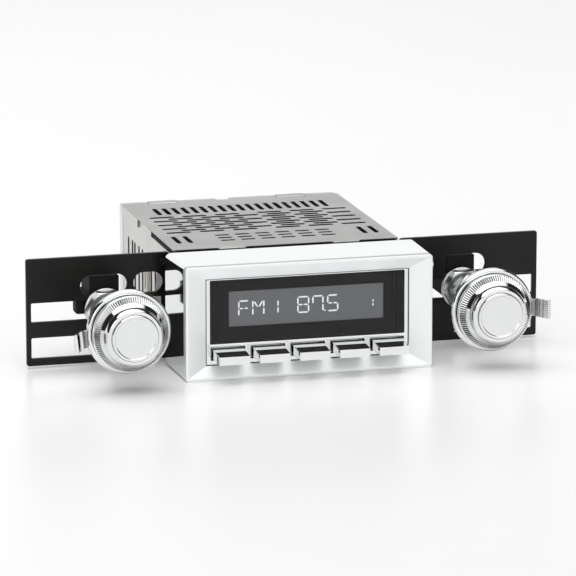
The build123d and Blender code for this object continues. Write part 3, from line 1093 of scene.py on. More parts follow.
@dataclass
class Sheet:
    """A plate of even thickness with holes and rounded edges, cut flat and then laid.

    The far paint is the finish number of its far face and of the walls of its holes; on the tub and
    the cover it is a near-black finish that paints their shade.
    """

    outline: np.ndarray
    holes: Sequence[np.ndarray]
    thickness: float
    edge: float
    folds: Sequence[float] = ()
    steps: int = 2
    far_paint: int = 0

    @staticmethod
    def inset(loop: np.ndarray, distance: float) -> np.ndarray:
        """Moves a loop into its material.

        A point moves by the distance times (n1 + n2) / (1 + n1.n2), where n1 and n2 are the left
        normals of the runs before and after it.

        Args:
            loop: its points, with the material on the left.
            distance: how far its sides move.

        Returns:
            The moved points.
        """
        run = np.roll(loop, -1, 0) - loop
        run = run / np.linalg.norm(run, axis=1, keepdims=True).clip(TINY)
        after = np.stack([-run[:, 1], run[:, 0]], 1)
        before = np.roll(after, 1, 0)
        share = 1 + (before * after).sum(1, keepdims=True)
        least = 0.3
        return loop + distance * (before + after) / share.clip(least)

    def turned_right(self, loop: np.ndarray, hole: bool) -> np.ndarray:
        """Puts a loop in the order that keeps the material on its left, split at the folds.

        Twice the area inside is the sum of x1 y2 - x2 y1 over the runs, and a run that crosses a
        fold gets a point at the share of its length where it does.

        Args:
            loop: its points.
            hole: it is a hole, with the material outside.

        Returns:
            The points in order.
        """
        ahead = np.roll(loop, -1, 0)
        area = (loop[:, 0] * ahead[:, 1] - ahead[:, 0] * loop[:, 1]).sum()
        if (area > 0) == hole:
            loop = loop[::-1]
        for fold in self.folds:
            gap, ahead = loop[:, 0] - fold, np.roll(loop, -1, 0)
            crossing = np.flatnonzero(gap * (ahead[:, 0] - fold) < -TINY)
            share = gap[crossing] / (loop[crossing, 0] - ahead[crossing, 0])
            added = loop[crossing] + (ahead[crossing] - loop[crossing]) * share[:, None]
            loop = np.insert(loop, crossing + 1, added, axis=0)
        return loop

    def flat(self, loops_in: Sequence[np.ndarray]) -> tuple[np.ndarray, np.ndarray]:
        """Fills the space between loops with triangles.

        A triangle is kept where a line from its middle crosses the loops an odd number of times.

        Args:
            loops_in: the outline and the holes.

        Returns:
            Points and triangles.
        """
        points = np.concatenate(loops_in)
        starts = np.cumsum([0] + [len(loop) for loop in loops_in[:-1]])
        edges = np.concatenate(
            [
                np.stack([np.arange(len(loop)), np.roll(np.arange(len(loop)), -1)], 1) + start
                for loop, start in zip(loops_in, starts)
            ]
        )
        beyond, nearness = 1.0, 1e-6
        low, high = points[:, 1].min() - beyond, points[:, 1].max() + beyond
        for fold in self.folds:
            edges = np.vstack([edges, [len(points), len(points) + 1]])
            points = np.vstack([points, [(fold, low), (fold, high)]])
        found = delaunay_2d_cdt(
            [Vector(point) for point in points], edges.tolist(), [], 0, nearness, False
        )
        places = np.array(found[0])
        triangles = np.array([face for face in found[2] if len(face) == 3])
        middle = places[triangles].mean(1)
        start = np.concatenate(loops_in)
        end = np.concatenate([np.roll(loop, -1, 0) for loop in loops_in])
        x, y = middle[:, :1], middle[:, 1:]
        spans = (start[None, :, 1] > y) != (end[None, :, 1] > y)
        rise = np.where(end[:, 1] == start[:, 1], 1.0, end[:, 1] - start[:, 1])
        cross = start[:, 0] + (y - start[:, 1]) * (end[:, 0] - start[:, 0]) / rise
        inside = (spans & (x < cross)).sum(1) % 2 == 1
        return places, triangles[inside]

    def shell(self, lay: Laying) -> Shell:
        """Makes the sheet.

        Its edges are quarter circles: inset r (1 - sin a) at r (1 - cos a) below the face.

        Args:
            lay: turns the pattern's two coordinates and the depth below its face into X, Y, Z.

        Returns:
            The sheet.
        """
        all_loops = [self.turned_right(self.outline, False)]
        all_loops += [self.turned_right(hole, True) for hole in self.holes]
        quarter = np.linspace(0.0, math.pi / 2, self.steps + 1)
        insets = self.edge * (1 - np.sin(quarter))
        sinks = self.edge * (1 - np.cos(quarter))
        insets = np.concatenate([insets, insets[::-1]])
        sinks = np.concatenate([sinks, self.thickness - sinks[::-1]])
        parts: list[Shell] = []
        for loop in all_loops:
            rings = np.stack([self.inset(loop, distance) for distance in insets])
            depth = np.repeat(sinks[:, None], len(loop), 1)
            parts.append(grid_shell(lay(rings[..., 0], rings[..., 1], depth), ends=False))
        places, triangles = self.flat([self.inset(loop, self.edge) for loop in all_loops])
        for depth in (0.0, self.thickness):
            points = lay(places[:, 0], places[:, 1], np.full(len(places), depth))
            order = triangles if depth else triangles[:, ::-1]
            parts.append(Shell(points, [tuple(face) for face in order.tolist()]))
        whole = Shell.joined(parts)
        # The hole walls and the far face take the far paint, which paints shade on the tub and the
        # cover.
        numbers = [0] + [self.far_paint] * len(self.holes) + [0, self.far_paint]
        whole.paint = [number for number, part in zip(numbers, parts) for _ in part.faces]
        return whole


def bar(x0: float, x1: float, d0: float, d1: float, z0: float, z1: float, edge: float) -> Shell:
    """A rounded bar.

    Args:
        x0: its left.
        x1: its right.
        d0: the depth of its front.
        d1: the depth of its rear.
        z0: its foot.
        z1: its top.
        edge: the radius of its edges.

    Returns:
        The bar.
    """
    outline = rectangle(x0, x1, z0, z1, edge, 2)
    return Sheet(outline, [], d1 - d0, edge).shell(facing(d0))


# ------------------------------------------------------------------ the front
BUTTON_PITCH = 18.26
BUTTON_XS = tuple((number - 2) * BUTTON_PITCH for number in range(5))
CORNER_SCREWS = tuple((x, z) for x in (-46.5, 49.2) for z in (4.6, 46.0))
AMPLIFIER_SCREWS = ((-28.0, 22.0), (-12.0, 22.0))
REAR_STUD = (-2.6, 36.0)
ANTENNA = (10.5, 33.0)


@dataclass
class FrontTrim:
    """The bezel, the panel in it, the smoked window and the black frame behind."""

    half_front: float = 56.5
    half_rear: float = 57.95
    half_height: float = 25.75
    depth: float = 32.6
    rim: float = 1.3
    opening_half: tuple[float, float] = (46.5, 19.5)
    opening_z: float = 25.6
    opening_depth: float = 3.2
    wall_end: float = 6.6
    cavity_half: tuple[float, float] = (55.2, 23.9)
    edge: float = 0.45
    face_depth: float = 3.6
    face_thick: float = 3.05
    key_half: float = 7.8
    key_heights: tuple[float, float] = (8.3, 14.2)
    rail_x: float = 50.9
    rail_half: float = 0.8
    lips: tuple[tuple[float, float], ...] = ((-50.8, -32.4), (-18.6, 20.6), (34.4, 50.8))

    def bezel(self) -> None:
        """The frame's section, walked from the front rim round the outside and back inside."""
        middle, crisp = self.half_height, 0.05
        inner_wide, inner_high = self.half_front - self.rim, self.half_height - self.rim
        section = [
            (self.half_front, self.half_height, 1.4, 0.0, middle),
            (self.half_rear, self.half_height, 2.7, self.depth, middle),
            (*self.cavity_half, 0.4, self.depth, middle),
            (*self.cavity_half, 0.4, self.wall_end, middle),
            (*self.opening_half, crisp, self.wall_end, self.opening_z),
            (*self.opening_half, crisp, self.opening_depth, self.opening_z),
            (inner_wide, inner_high, crisp, 0.0, middle),
        ]
        frame_shell = loops(eased(section, self.edge, 5, ring=True), corner_steps=8, ring=True)
        piece("bezel_frame", [frame_shell], [Finish.BEZEL], "bezel")

    def inner_trim(self) -> None:
        """The panel round the window: a raised part and the flange behind it, cut alike."""
        window = rectangle(-44.5, 44.5, 15.6, 44.3, 0.4)
        keys = [
            rectangle(x - self.key_half, x + self.key_half, *self.key_heights, 0.35)
            for x in BUTTON_XS
        ]
        holes = [window, *keys]
        raised = rectangle(-46.25, 46.25, 6.35, 44.85, 0.3)
        face = Sheet(raised, holes, self.face_thick, 0.28, steps=3)
        flange = Sheet(rectangle(-48.5, 48.5, 3.6, 47.6, 0.5), holes, 1.35, 0.1)
        behind = self.face_depth + self.face_thick
        shells = [face.shell(facing(self.face_depth)), flange.shell(facing(behind))]
        piece("inner_trim_panel", shells, [Finish.CHROME], "inner_trim")

    def window(self) -> None:
        """The smoked window, with a fine bevel round its face."""
        pane = Sheet(rectangle(-44.4, 44.4, 15.7, 44.2, 0.3), [], 2.0, 0.25, steps=3)
        piece("window_pane", [pane.shell(facing(self.face_depth))], [Finish.WINDOW], "display_lens")

    def housing(self) -> None:
        """The black frame behind the bezel: a ring of rectangles, and two bars of painted shadow.
        """
        nose, waist, tail = (54.9, 23.55, 0.6), (51.0, 24.3, 0.6), (50.9, 24.5, 0.6)
        throat, pocket = (44.0, 19.3, 0.4), (47.0, 21.45, 0.4)
        rows = [
            (*nose, 12.0, 25.75),
            (*nose, 33.2, 25.75),
            (*waist, 33.2, 25.5),
            (*waist, 39.9, 25.5),
            (*tail, 39.9, 25.4),
            (*tail, 44.0, 25.4),
            (*throat, 44.0, 25.5),
            (*throat, 24.7, 25.5),
            (*pocket, 24.7, 25.45),
            (*pocket, 12.0, 25.45),
        ]
        ring = loops(eased(rows, 0.3, 3, ring=True), corner_steps=4, ring=True)
        # Painted shadow: black bars along the tops of the tub's sides stand for the shadowed gap
        # under the cover's edges.
        shadow_bars = [
            bar(x - self.rail_half, x + self.rail_half, 38.5, 86.0, 47.7, 50.05, 0.2)
            for x in (-self.rail_x, self.rail_x)
        ]
        lips = [bar(x0, x1, 38.7, 39.85, 49.5, 50.9, 0.2) for x0, x1 in self.lips]
        piece("front_frame", [ring, *shadow_bars, *lips], [Finish.PLASTIC], "front_housing")

    def build(self) -> None:
        """Builds the bezel, the inner trim, the window and the black frame."""
        self.bezel()
        self.inner_trim()
        self.window()
        self.housing()


@dataclass
class Display:
    """The lit characters: tapered bars on the face of the grey display."""

    front: float = 6.36
    rear: float = 6.47
    width: float = 0.62
    foot: float = 27.1

    STROKES: ClassVar[dict[str, tuple[tuple[float, float], tuple[float, float]]]] = {
        "top": ((0.0, 1.0), (1.0, 1.0)),
        "upper_left": ((0.0, 1.0), (0.0, 0.5)),
        "upper_right": ((1.0, 1.0), (1.0, 0.5)),
        "middle_left": ((0.0, 0.5), (0.5, 0.5)),
        "middle_right": ((0.5, 0.5), (1.0, 0.5)),
        "lower_left": ((0.0, 0.5), (0.0, 0.0)),
        "lower_right": ((1.0, 0.5), (1.0, 0.0)),
        "foot": ((0.0, 0.0), (1.0, 0.0)),
        "slant_left": ((0.08, 0.96), (0.47, 0.52)),
        "slant_right": ((0.92, 0.96), (0.53, 0.52)),
    }
    SHOWN: ClassVar[dict[str, tuple[str, ...]]] = {
        "F": ("top", "upper_left", "middle_left", "middle_right", "lower_left"),
        "M": ("upper_left", "upper_right", "lower_left", "lower_right", "slant_left",
              "slant_right"),
        "1": ("upper_right", "lower_right"),
        "8": ("top", "upper_left", "upper_right", "middle_left", "middle_right", "lower_left",
              "lower_right", "foot"),
        "7": ("top", "upper_left", "upper_right", "lower_right"),
        "5": ("top", "upper_left", "middle_left", "middle_right", "lower_right", "foot"),
    }

    def stroke(self, start: np.ndarray, end: np.ndarray) -> Shell:
        """One bar with pointed ends.

        The bar's corners stand half its width either side of its line, set in by the same.

        Args:
            start: X and Z of its first end.
            end: X and Z of its other end.

        Returns:
            The bar.
        """
        run = (end - start) / np.linalg.norm(end - start)
        side = np.array([-run[1], run[0]]) * self.width / 2
        gap, taper = run * 0.16, run * self.width * 0.9
        a, b = start + gap, end - gap
        near, far = a + taper, b - taper
        outline = np.array([a, near + side, far + side, b, far - side, near - side])
        return slab(outline, self.front, self.rear)

    def character(self, mark: str, x0: float, x1: float, z0: float, z1: float) -> list[Shell]:
        """Builds one character, with its strokes' unit square scaled to its box.

        Args:
            mark: which character.
            x0: its left.
            x1: its right.
            z0: its foot.
            z1: its top.

        Returns:
            Its bars.
        """
        low, size = np.array([x0, z0]), np.array([x1 - x0, z1 - z0])
        lines = [self.STROKES[stroke] for stroke in self.SHOWN[mark]]
        return [self.stroke(low + size * start, low + size * end) for start, end in lines]

    def build(self) -> None:
        """Builds the characters of a band, a frequency and a preset number."""
        foot = self.foot
        band, figures = foot + 6.7, foot + 7.0
        bars = [
            *self.character("F", -30.8, -26.3, foot, band),
            *self.character("M", -24.4, -19.4, foot, band),
            *self.character("1", -17.2, -12.9, foot + 0.3, foot + 6.3),
            *self.character("8", -3.8, 1.1, foot, figures),
            *self.character("7", 3.1, 7.7, foot, figures),
            *self.character("5", 9.9, 14.5, foot, figures),
            *self.character("1", 27.0, 30.8, foot + 0.8, foot + 4.3),
        ]
        left, right, top = 8.3, 8.9, foot + 0.6
        point = np.array([(left, foot), (right, foot), (right, top), (left, top)])
        bars.append(slab(point, self.front, self.rear))
        piece("display_characters", bars, [Finish.SEGMENT], "lcd_panel", stands_for=False)


@dataclass
class PushButtons:
    """Five chrome push buttons, each with its flange and stem."""

    half_front: tuple[float, float] = (7.0, 1.88)
    half_rear: tuple[float, float] = (7.3, 2.35)
    half_flange: tuple[float, float] = (8.5, 3.6)
    half_stem: tuple[float, float] = (2.0, 2.0)
    middle_z: float = 11.25
    stations: tuple[float, ...] = (-9.5, 8.2, 9.8, 17.8)

    def button(self, number: int, x: float) -> None:
        """Builds one button as rectangles from its front face to its stem's end.

        Its top and underside fall towards the front, as the front face is the lower.

        Args:
            number: its number, from the left.
            x: where its middle lies across.
        """
        nose, root, flange, tip = self.stations
        centre = self.middle_z
        lowered = centre - (self.half_rear[1] - self.half_front[1])
        section = [
            (0.5, 0.2, 0.05, nose, lowered),
            (*self.half_front, 0.3, nose, lowered),
            (7.22, self.half_rear[1], 0.3, 3.6, centre),
            (*self.half_rear, 0.3, root, centre),
            (*self.half_flange, 0.3, root, centre + 0.05),
            (*self.half_flange, 0.3, flange, centre + 0.05),
            (*self.half_stem, 0.2, flange, centre),
            (*self.half_stem, 0.2, tip, centre),
        ]
        cap = loops(eased(section, 0.42, 5), x, 5)
        piece(f"button_cap_{number}", [cap], [Finish.CHROME], f"button_{number}")

    def build(self) -> None:
        """Builds the five buttons."""
        for number, x in enumerate(BUTTON_XS, 1):
            self.button(number, x)


# ------------------------------------------------------------------ control shafts
class Side(Enum):
    """The two sides of the radio, as the sign of X."""

    LEFT = -1
    RIGHT = 1

    @property
    def word(self) -> str:
        """The side's name at the start of its nodes' names."""
        return self.name.lower()


@dataclass
class ControlShaft:
    """One control: nuts and threaded bushing, the ring with its lever tab, and the milled knob."""

    side: Side
    reach: float = 83.0
    height: float = 25.4
    lever_drop: float = 0.0
    teeth: int = 98
    tooth_steps: int = 8
    knob_rear: float = -5.2
    cone: tuple[float, float] = (-8.45, -12.65)
    cone_radius: float = 13.3
    groove_depth: float = 0.42
    groove_share: float = 0.7
    bushing_radius: float = 4.2
    ribbed: tuple[float, float] = (0.48, 0.76)
    ribs: int = 6

    @property
    def x(self) -> float:
        """Where the shaft lies across."""
        return self.side.value * self.reach

    def piece(
        self, name: str, shells: Sequence[Shell], finishes: Sequence[Finish], node: str
    ) -> None:
        """Makes one piece of this side, as piece() does.

        Args:
            name: its name without the side.
            shells: its surfaces.
            finishes: its finishes.
            node: its CAD node's name without the side.
        """
        piece(f"{self.side.word}_{name}", shells, finishes, f"{self.side.word}_{node}")

    def knob(self) -> None:
        """The knob: a plain skirt, a cone cut with teeth, and a domed shoulder.

        The shoulder's radius is 10.9 + 2.3 cos^0.8, and its depth falls by 3.8 sin.
        """
        rear, (start, end) = self.knob_rear, self.cone
        outline = [
            (2.02, rear), (15.1, rear), (15.2, -6.42), (16.75, -6.45), (17.0, -6.7),
            (17.0, -8.2), (16.85, start), (13.5, end), (13.2, -13.0),
        ]
        path = eased(outline, 0.14, 3)
        swing = np.linspace(0.0, math.pi / 2, 24)[1:]
        dome = np.stack([10.9 + 2.3 * np.cos(swing) ** 0.8, -13.0 - 3.8 * np.sin(swing)], 1)
        seat = eased([(10.9, -16.8), (10.52, -16.7), (10.5, -15.02), (0.0, -15.02)], 0.1, 3)
        socket = np.array([[0.0, -13.0], [2.02, -13.0], [2.02, rear]])
        on_cone = (path[:, 1] < start + 0.15) & (path[:, 1] > end - 0.1)
        cone = np.flatnonzero((path[:, 0] > self.cone_radius + 0.1) & on_cone)
        cut = dense(path[cone[0] : cone[-1] + 1], 0.15)
        profile = np.vstack([path[: cone[0]], cut, path[cone[-1] + 1 :], dome, seat[1:], socket])

        def held(depth: np.ndarray) -> np.ndarray:
            """How fully the grooves are cut: 1, but 0 at the cone's start and past their share."""
            along = ((start - depth) / (start - end)).clip(0.0, 1.0)
            return (along * 12.0).clip(0, 1) * ((self.groove_share - along) * 12.0).clip(0, 1)

        def relief(
            radius: np.ndarray, depth: np.ndarray, angle: np.ndarray
        ) -> tuple[np.ndarray, np.ndarray]:
            """Cuts grooves with round lands between.

            Their depth is 1 - |cos|^1.3 round the cone, faded at both of their ends, and the cut
            goes in square to the cone.

            Args:
                radius: the profile's radii.
                depth: its depths.
                angle: the angles round the line.

            Returns:
                The new radii and depths.
            """
            wave = 1 - np.abs(np.cos(angle * self.teeth / 2)) ** 1.3
            cut_in = self.groove_depth * wave * held(depth)
            sink = np.where(radius > self.cone_radius, cut_in, 0.0)
            inward, backward = 0.78, 0.62
            return radius - sink * inward, depth + sink * backward

        columns = self.teeth * self.tooth_steps
        body = spun(profile, self.x, self.height, columns, relief)
        # Painted shade: faces on the floors of the cone's grooves take the dark groove metal in
        # place of the chrome.
        rows = (profile[:-1, 0] > self.cone_radius) & (held(profile[:-1, 1]) > 0.6)
        step = np.arange(columns) % self.tooth_steps
        floor = (step > 2) & (step < 6)
        grooves = rows[:, None] & floor[None, :]
        body.paint = [*grooves.ravel().astype(int).tolist(), 0, 0]
        self.piece("knob_shape", [body], [Finish.CHROME, Finish.GROOVE], "knob_body")

    def cap(self) -> None:
        """The cap: a raised rim round a shallow dish."""
        outline = [
            (0.0, -15.02), (10.4, -15.02), (10.4, -17.05), (10.1, -17.6), (9.3, -17.6),
            (8.9, -17.2), (7.5, -17.12), (0.0, -16.85),
        ]
        profile = dense(eased(outline, 0.22, 4), 0.9)
        disc = spun(profile, self.x, self.height, 160)
        self.piece("knob_face", [disc], [Finish.CHROME], "knob_cap")

    def lever(self) -> Shell:
        """The lever tab: a section carried along a path that sweeps out and forwards.

        The section is a rounded rectangle across the path, x = sign(cos) |cos|^0.28 and the same
        of the sine, drawn in at the tip along a quarter circle. Its front side is hollowed at the
        neck by a sine, and carries ribs, a cosine along the path, on the pad. The neck's hollow
        and the ribs' grooves carry painted shade: darker metals in place of the chrome.

        Returns:
            The tab, at its drop.
        """
        corners = [(17.0, -3.0), (19.6, -3.35), (22.0, -5.9), (25.1, -10.2)]
        path = dense(eased(corners, 1.8, 8), 0.09)
        walked = np.concatenate([[0.0], np.cumsum(np.linalg.norm(np.diff(path, axis=0), axis=1))])
        share = (walked / walked[-1])[:, None]
        run = np.gradient(path, axis=0)
        run = run / np.linalg.norm(run, axis=1, keepdims=True)
        across = np.stack([run[:, 1], -run[:, 0]], 1)[:, None]
        angle = np.linspace(0.0, 2 * math.pi, 40, endpoint=False)[None, :]
        square, tip, ramp = 0.28, 0.03, 0.02
        thick = np.sign(np.cos(angle)) * np.abs(np.cos(angle)) ** square
        tall = np.sign(np.sin(angle)) * np.abs(np.sin(angle)) ** square
        closing = np.sqrt(np.clip(1 - ((share - (1 - tip)) / tip).clip(0, 1) ** 2, 0.05, 1))
        half_thick = 0.92 * closing
        half_tall = (3.8 + 0.4 * share.clip(0, 0.5) / 0.5) * (0.9 + 0.1 * closing)
        neck = 0.5 * np.sin(math.pi * ((share - 0.2) / 0.28).clip(0, 1))
        first, last = self.ribbed
        on_pad = ((share - first) / ramp).clip(0, 1) * ((last - share) / ramp).clip(0, 1)

        def wave(place: np.ndarray) -> np.ndarray:
            """The cosine whose crests are the grooves between the ribs."""
            return np.cos((place - first) / 0.28 * 2 * math.pi * self.ribs)

        ribs = 0.34 * on_pad * (0.5 - 0.5 * wave(share))
        facing_out = thick > 0.5
        offset = half_thick * thick - np.where(facing_out, neck + ribs, 0.0)
        centre = path[:, None] + across * offset[..., None]
        grid = np.stack(
            [
                self.x + self.side.value * centre[..., 0],
                FRONT_Y + centre[..., 1],
                self.height + half_tall * tall,
            ],
            -1,
        )
        # Painted shade: the hollow neck's front faces take the darker chrome, and the rib grooves
        # the dark metal.
        middle, ahead = (share[:-1] + share[1:]) / 2, facing_out & np.roll(facing_out, -1, 1)
        hollow = ahead & (middle > 0.18) & (middle < 0.47)
        groove = ahead & (middle > first) & (middle < last) & (wave(middle) < 0)
        tab = grid_shell(grid)
        tab.paint = [*(groove * 1 + hollow * 2).ravel().tolist(), 0, 0]
        return tab.turned(self.side.value * self.lever_drop, self.x, self.height)

    def ring(self) -> None:
        """The dished ring with its bead, hub and lever tab."""
        outline = [
            (3.02, -3.4), (15.4, -3.4), (15.85, -4.75), (16.6, -5.0), (18.15, -5.0), (18.9, -4.2),
            (18.9, -2.3), (18.2, -1.2), (14.0, 0.0), (7.0, 0.6), (6.4, 1.4), (6.4, 7.0),
            (3.02, 7.0), (3.02, -3.4),
        ]
        disc = spun(eased(outline, 0.35, 4), self.x, self.height, 192)
        # The second and third finishes are painted shade for the lever's rib grooves and hollow
        # neck.
        finishes = [Finish.CHROME, Finish.GROOVE, Finish.SHADED]
        self.piece("ring_shape", [disc, self.lever()], finishes, "rear_ring")

    def nuts(self) -> None:
        """The two hex nuts: prisms with a turned chamfer at both ends."""

        def prism(corner: float, front: float, rear: float, degrees: float) -> Shell:
            """Builds one nut.

            Args:
                corner: the distance from the axis to a corner.
                front: the depth of its face.
                rear: the depth of its back.
                degrees: where a corner lies.

            Returns:
                The nut.
            """
            bore, lead, entry, chamfer = self.bushing_radius + 0.03, corner * 0.87, 0.3, 0.85
            outline = [
                (bore, front + entry), (bore + entry, front), (lead, front),
                (corner, front + chamfer), (corner, rear - chamfer), (lead, rear),
                (bore + entry, rear), (bore, rear - entry), (bore, front + entry),
            ]
            profile = dense(np.array(outline), 0.16)
            flats = hexagon(corner, degrees, bore + 0.5)
            return spun(profile, self.x, self.height, 144, flats)

        shells = [prism(10.2, 35.15, 41.15, 0.0), prism(9.2, 27.0, 32.0, -18.0)]
        self.piece("nut_pair", shells, [Finish.NICKEL], "shaft_nuts")

    def bushing(self) -> None:
        """The threaded bushing with the block that holds it in the housing."""
        bore, radius, front, seat, rear = 3.06, self.bushing_radius, 22.0, 45.8, 47.6
        outline = [
            (bore, front), (radius - 0.5, front), (radius, front + 0.5), (radius, seat),
            (bore, seat), (bore, front),
        ]
        ridges = thread(22.3, 42.0, 0.75, 0.32, radius - 0.3)
        barrel = spun(dense(np.array(outline), 0.11), self.x, self.height, 72, ridges)
        raised = self.height + 0.65
        rows = np.array(
            [
                (3.6, 3.6, 0.4, seat, self.height),
                (6.0, 4.2, 0.4, seat, raised),
                (6.0, 4.2, 0.4, rear, raised),
                (3.2, 3.2, 0.4, rear, self.height),
            ]
        )
        block = loops(rows, self.x, 4, ring=True)
        self.piece("threaded_bushing", [barrel, block], [Finish.NICKEL], "bushing")

    def washer(self) -> None:
        """The washer, domed a little towards its rim."""
        bore, rim, front, rear = self.bushing_radius + 0.03, 9.6, 41.25, 42.4
        outline = [
            (bore, front), (8.9, front), (rim, 41.6), (rim, rear), (bore, rear), (bore, front),
        ]
        disc = spun(eased(outline, 0.15, 3), self.x, self.height, 128)
        self.piece("washer_shape", [disc], [Finish.NICKEL], "washer")

    def housing(self) -> None:
        """The box behind the plate, hollow and with chamfered lower corners, and its cover."""

        def outline(
            wide: float, low: float, shoulder: float, neck: float, top: float, cut: float
        ) -> np.ndarray:
            """The box's outline: a wide body with a narrow neck above it.

            Args:
                wide: the body's half width.
                low: its foot.
                shoulder: its top.
                neck: the neck's half width.
                top: the neck's top.
                cut: the chamfer of the lower corners.

            Returns:
                Its points.
            """
            corners = [
                (-wide + cut, low), (wide - cut, low), (wide, low + cut), (wide, shoulder),
                (neck, shoulder), (neck, top), (-neck, top), (-neck, shoulder), (-wide, shoulder),
                (-wide, low + cut),
            ]
            return eased(np.array(corners) + (self.x, 0), 0.45, 3, ring=True)

        outer = outline(8.0, 20.6, 31.5, 6.75, 40.0, 1.0)
        cavity = outline(6.8, 21.8, 30.3, 5.55, 38.8, 0.4)
        mouth = circle(self.x, self.height, self.bushing_radius + 0.05, 48)
        start, wall, length = 44.6, 1.2, 16.2
        front = Sheet(outer, [mouth], wall, 0.35).shell(facing(start))
        walls = Sheet(outer, [cavity], length, 0.25).shell(facing(start + wall))
        ends = sorted(self.x + self.side.value * reach for reach in (7.9, 13.0))
        wing = bar(*ends, start, 52.0, 23.0, 31.5, 0.8)
        self.piece("housing_box", [front, walls, wing], [Finish.PLASTIC], "control_housing")
        lid = outline(7.8, 20.8, 31.3, 6.5, 39.8, 0.6)
        gap = rectangle(self.x - 4.2, self.x + 4.2, 33.0, 35.0, 0.2)
        cover = Sheet(lid, [gap], wall, 0.25).shell(facing(62.0))
        self.piece("housing_lid", [cover], [Finish.PLASTIC], "control_cover")

    def build(self) -> None:
        """Builds one side's control."""
        self.knob()
        self.cap()
        self.ring()
        self.nuts()
        self.bushing()
        self.washer()
        self.housing()


# ------------------------------------------------------------------ screws
@dataclass
class CrossScrew:
    """A pan-head screw with a cross recess, set along any line."""

    head_radius: float
    head_height: float
    shank_radius: float
    shank_length: float

    def shell(self, seat: Sequence[float], out: Sequence[float]) -> Shell:
        """Builds the screw.

        The head's height at radius r is its own times (1 - (r / R)^4)^(1/2), less the recess:
        its depth times the larger of the two arms' smooth steps in the head's plane.

        Args:
            seat: the middle of the face that the head lies on, as X, depth and Z.
            out: the direction in which the head points.

        Returns:
            The screw.
        """
        columns, size = 64, self.head_radius
        rings = np.concatenate([np.linspace(0.0, 0.62, 17), np.linspace(0.68, 0.985, 8)]) * size
        angle = np.arange(columns) * (2 * math.pi / columns)
        u, v = rings[:, None] * np.cos(angle), rings[:, None] * np.sin(angle)
        dome = self.head_height * np.sqrt(1 - (rings / size) ** 4)[:, None]

        def arm(length: np.ndarray, width: np.ndarray) -> np.ndarray:
            """Tells where one arm of the recess lies.

            Args:
                length: places along the arm.
                width: places across it.

            Returns:
                1 inside the arm and 0 outside, with a narrow slope at its edge.
            """
            ends = ((0.6 * size - np.abs(length)) / (0.14 * size)).clip(0, 1)
            sides = ((0.2 * size - np.abs(width)) / (0.1 * size)).clip(0, 1)
            return ends * sides

        recess = np.maximum(arm(u, v), arm(v, u)) * self.head_height * 0.62
        top = np.stack([u, v, dome - recess], -1)
        lower = np.array(
            [
                (size, self.head_height * 0.12), (size, 0.0), (self.shank_radius, 0.0),
                (self.shank_radius, -self.shank_length), (0.0, -self.shank_length - 0.3),
            ]
        )
        rest = np.stack(
            [
                lower[:, :1] * np.cos(angle), lower[:, :1] * np.sin(angle),
                np.repeat(lower[:, 1:], columns, 1),
            ],
            -1,
        )
        axis = Vector(out).normalized()
        aside = axis.orthogonal().normalized()
        basis = np.array([aside, axis.cross(aside), axis])
        middle = np.array([seat[0], FRONT_Y + seat[1], seat[2]])
        return grid_shell(np.concatenate([top, rest]) @ basis + middle)


@dataclass
class Screws:
    """Every group of screws, and the stud at the rear."""

    flange_depths: tuple[float, ...] = (50.5, 61.0)
    board_xs: tuple[float, ...] = (-42.0, 42.0)
    board_depths: tuple[float, ...] = (58.0, 128.0)


    def build(self) -> None:
        """Builds the rear, bracket and board screws and the rear stud."""
        corner = CrossScrew(2.8, 1.8, 1.45, 9.2)
        rear = [corner.shell((x, 150.0, z), (0, 1, 0)) for x, z in CORNER_SCREWS]
        amplifier = CrossScrew(2.8, 1.8, 1.45, 8.2)
        rear += [amplifier.shell((x, 146.4, z), (0, 1, 0)) for x, z in AMPLIFIER_SCREWS]
        piece("rear_screw_set", rear, [Finish.ZINC], "rear_screws")
        flange = CrossScrew(3.8, 2.2, 2.0, 1.7)
        held = [
            flange.shell((side * 53.85, depth, 18.0), (side, 0, 0))
            for side in (-1, 1)
            for depth in self.flange_depths
        ]
        piece("bracket_screw_set", held, [Finish.COAT], "bracket_screws")
        board = CrossScrew(2.8, 1.8, 1.5, 5.3)
        inside = [
            board.shell((x, depth, 9.6), (0, 0, 1))
            for x in self.board_xs
            for depth in self.board_depths
        ]
        piece("board_screw_set", inside, [Finish.ZINC], "board_screws")
        self.stud()

    def stud(self) -> None:
        """The rear stud: a hex collar and a threaded end."""
        x, z = REAR_STUD
        outline = np.array(
            [(0.0, 143.8), (2.5, 143.8), (2.5, 150.0), (4.1, 150.0), (4.6, 150.35), (4.6, 152.1),
             (4.1, 152.4), (2.5, 152.4), (2.5, 157.5), (2.0, 158.0), (0.0, 158.0)]
        )
        cut = thread(152.5, 157.6, 0.8, 0.3, 2.2)
        flats = hexagon(4.6, 0.0, 2.6)

        def relief(
            radius: np.ndarray, depth: np.ndarray, angle: np.ndarray
        ) -> tuple[np.ndarray, np.ndarray]:
            """Cuts the flats first, and then the thread.

            Args:
                radius: the profile's radii.
                depth: its depths.
                angle: the angles round the line.

            Returns:
                The new radii and depths.
            """
            return cut(*flats(radius, depth, angle), angle)

        shape = spun(dense(outline, 0.12), x, z, 72, relief)
        piece("rear_stud", [shape], [Finish.NICKEL], "rear_support_stud")


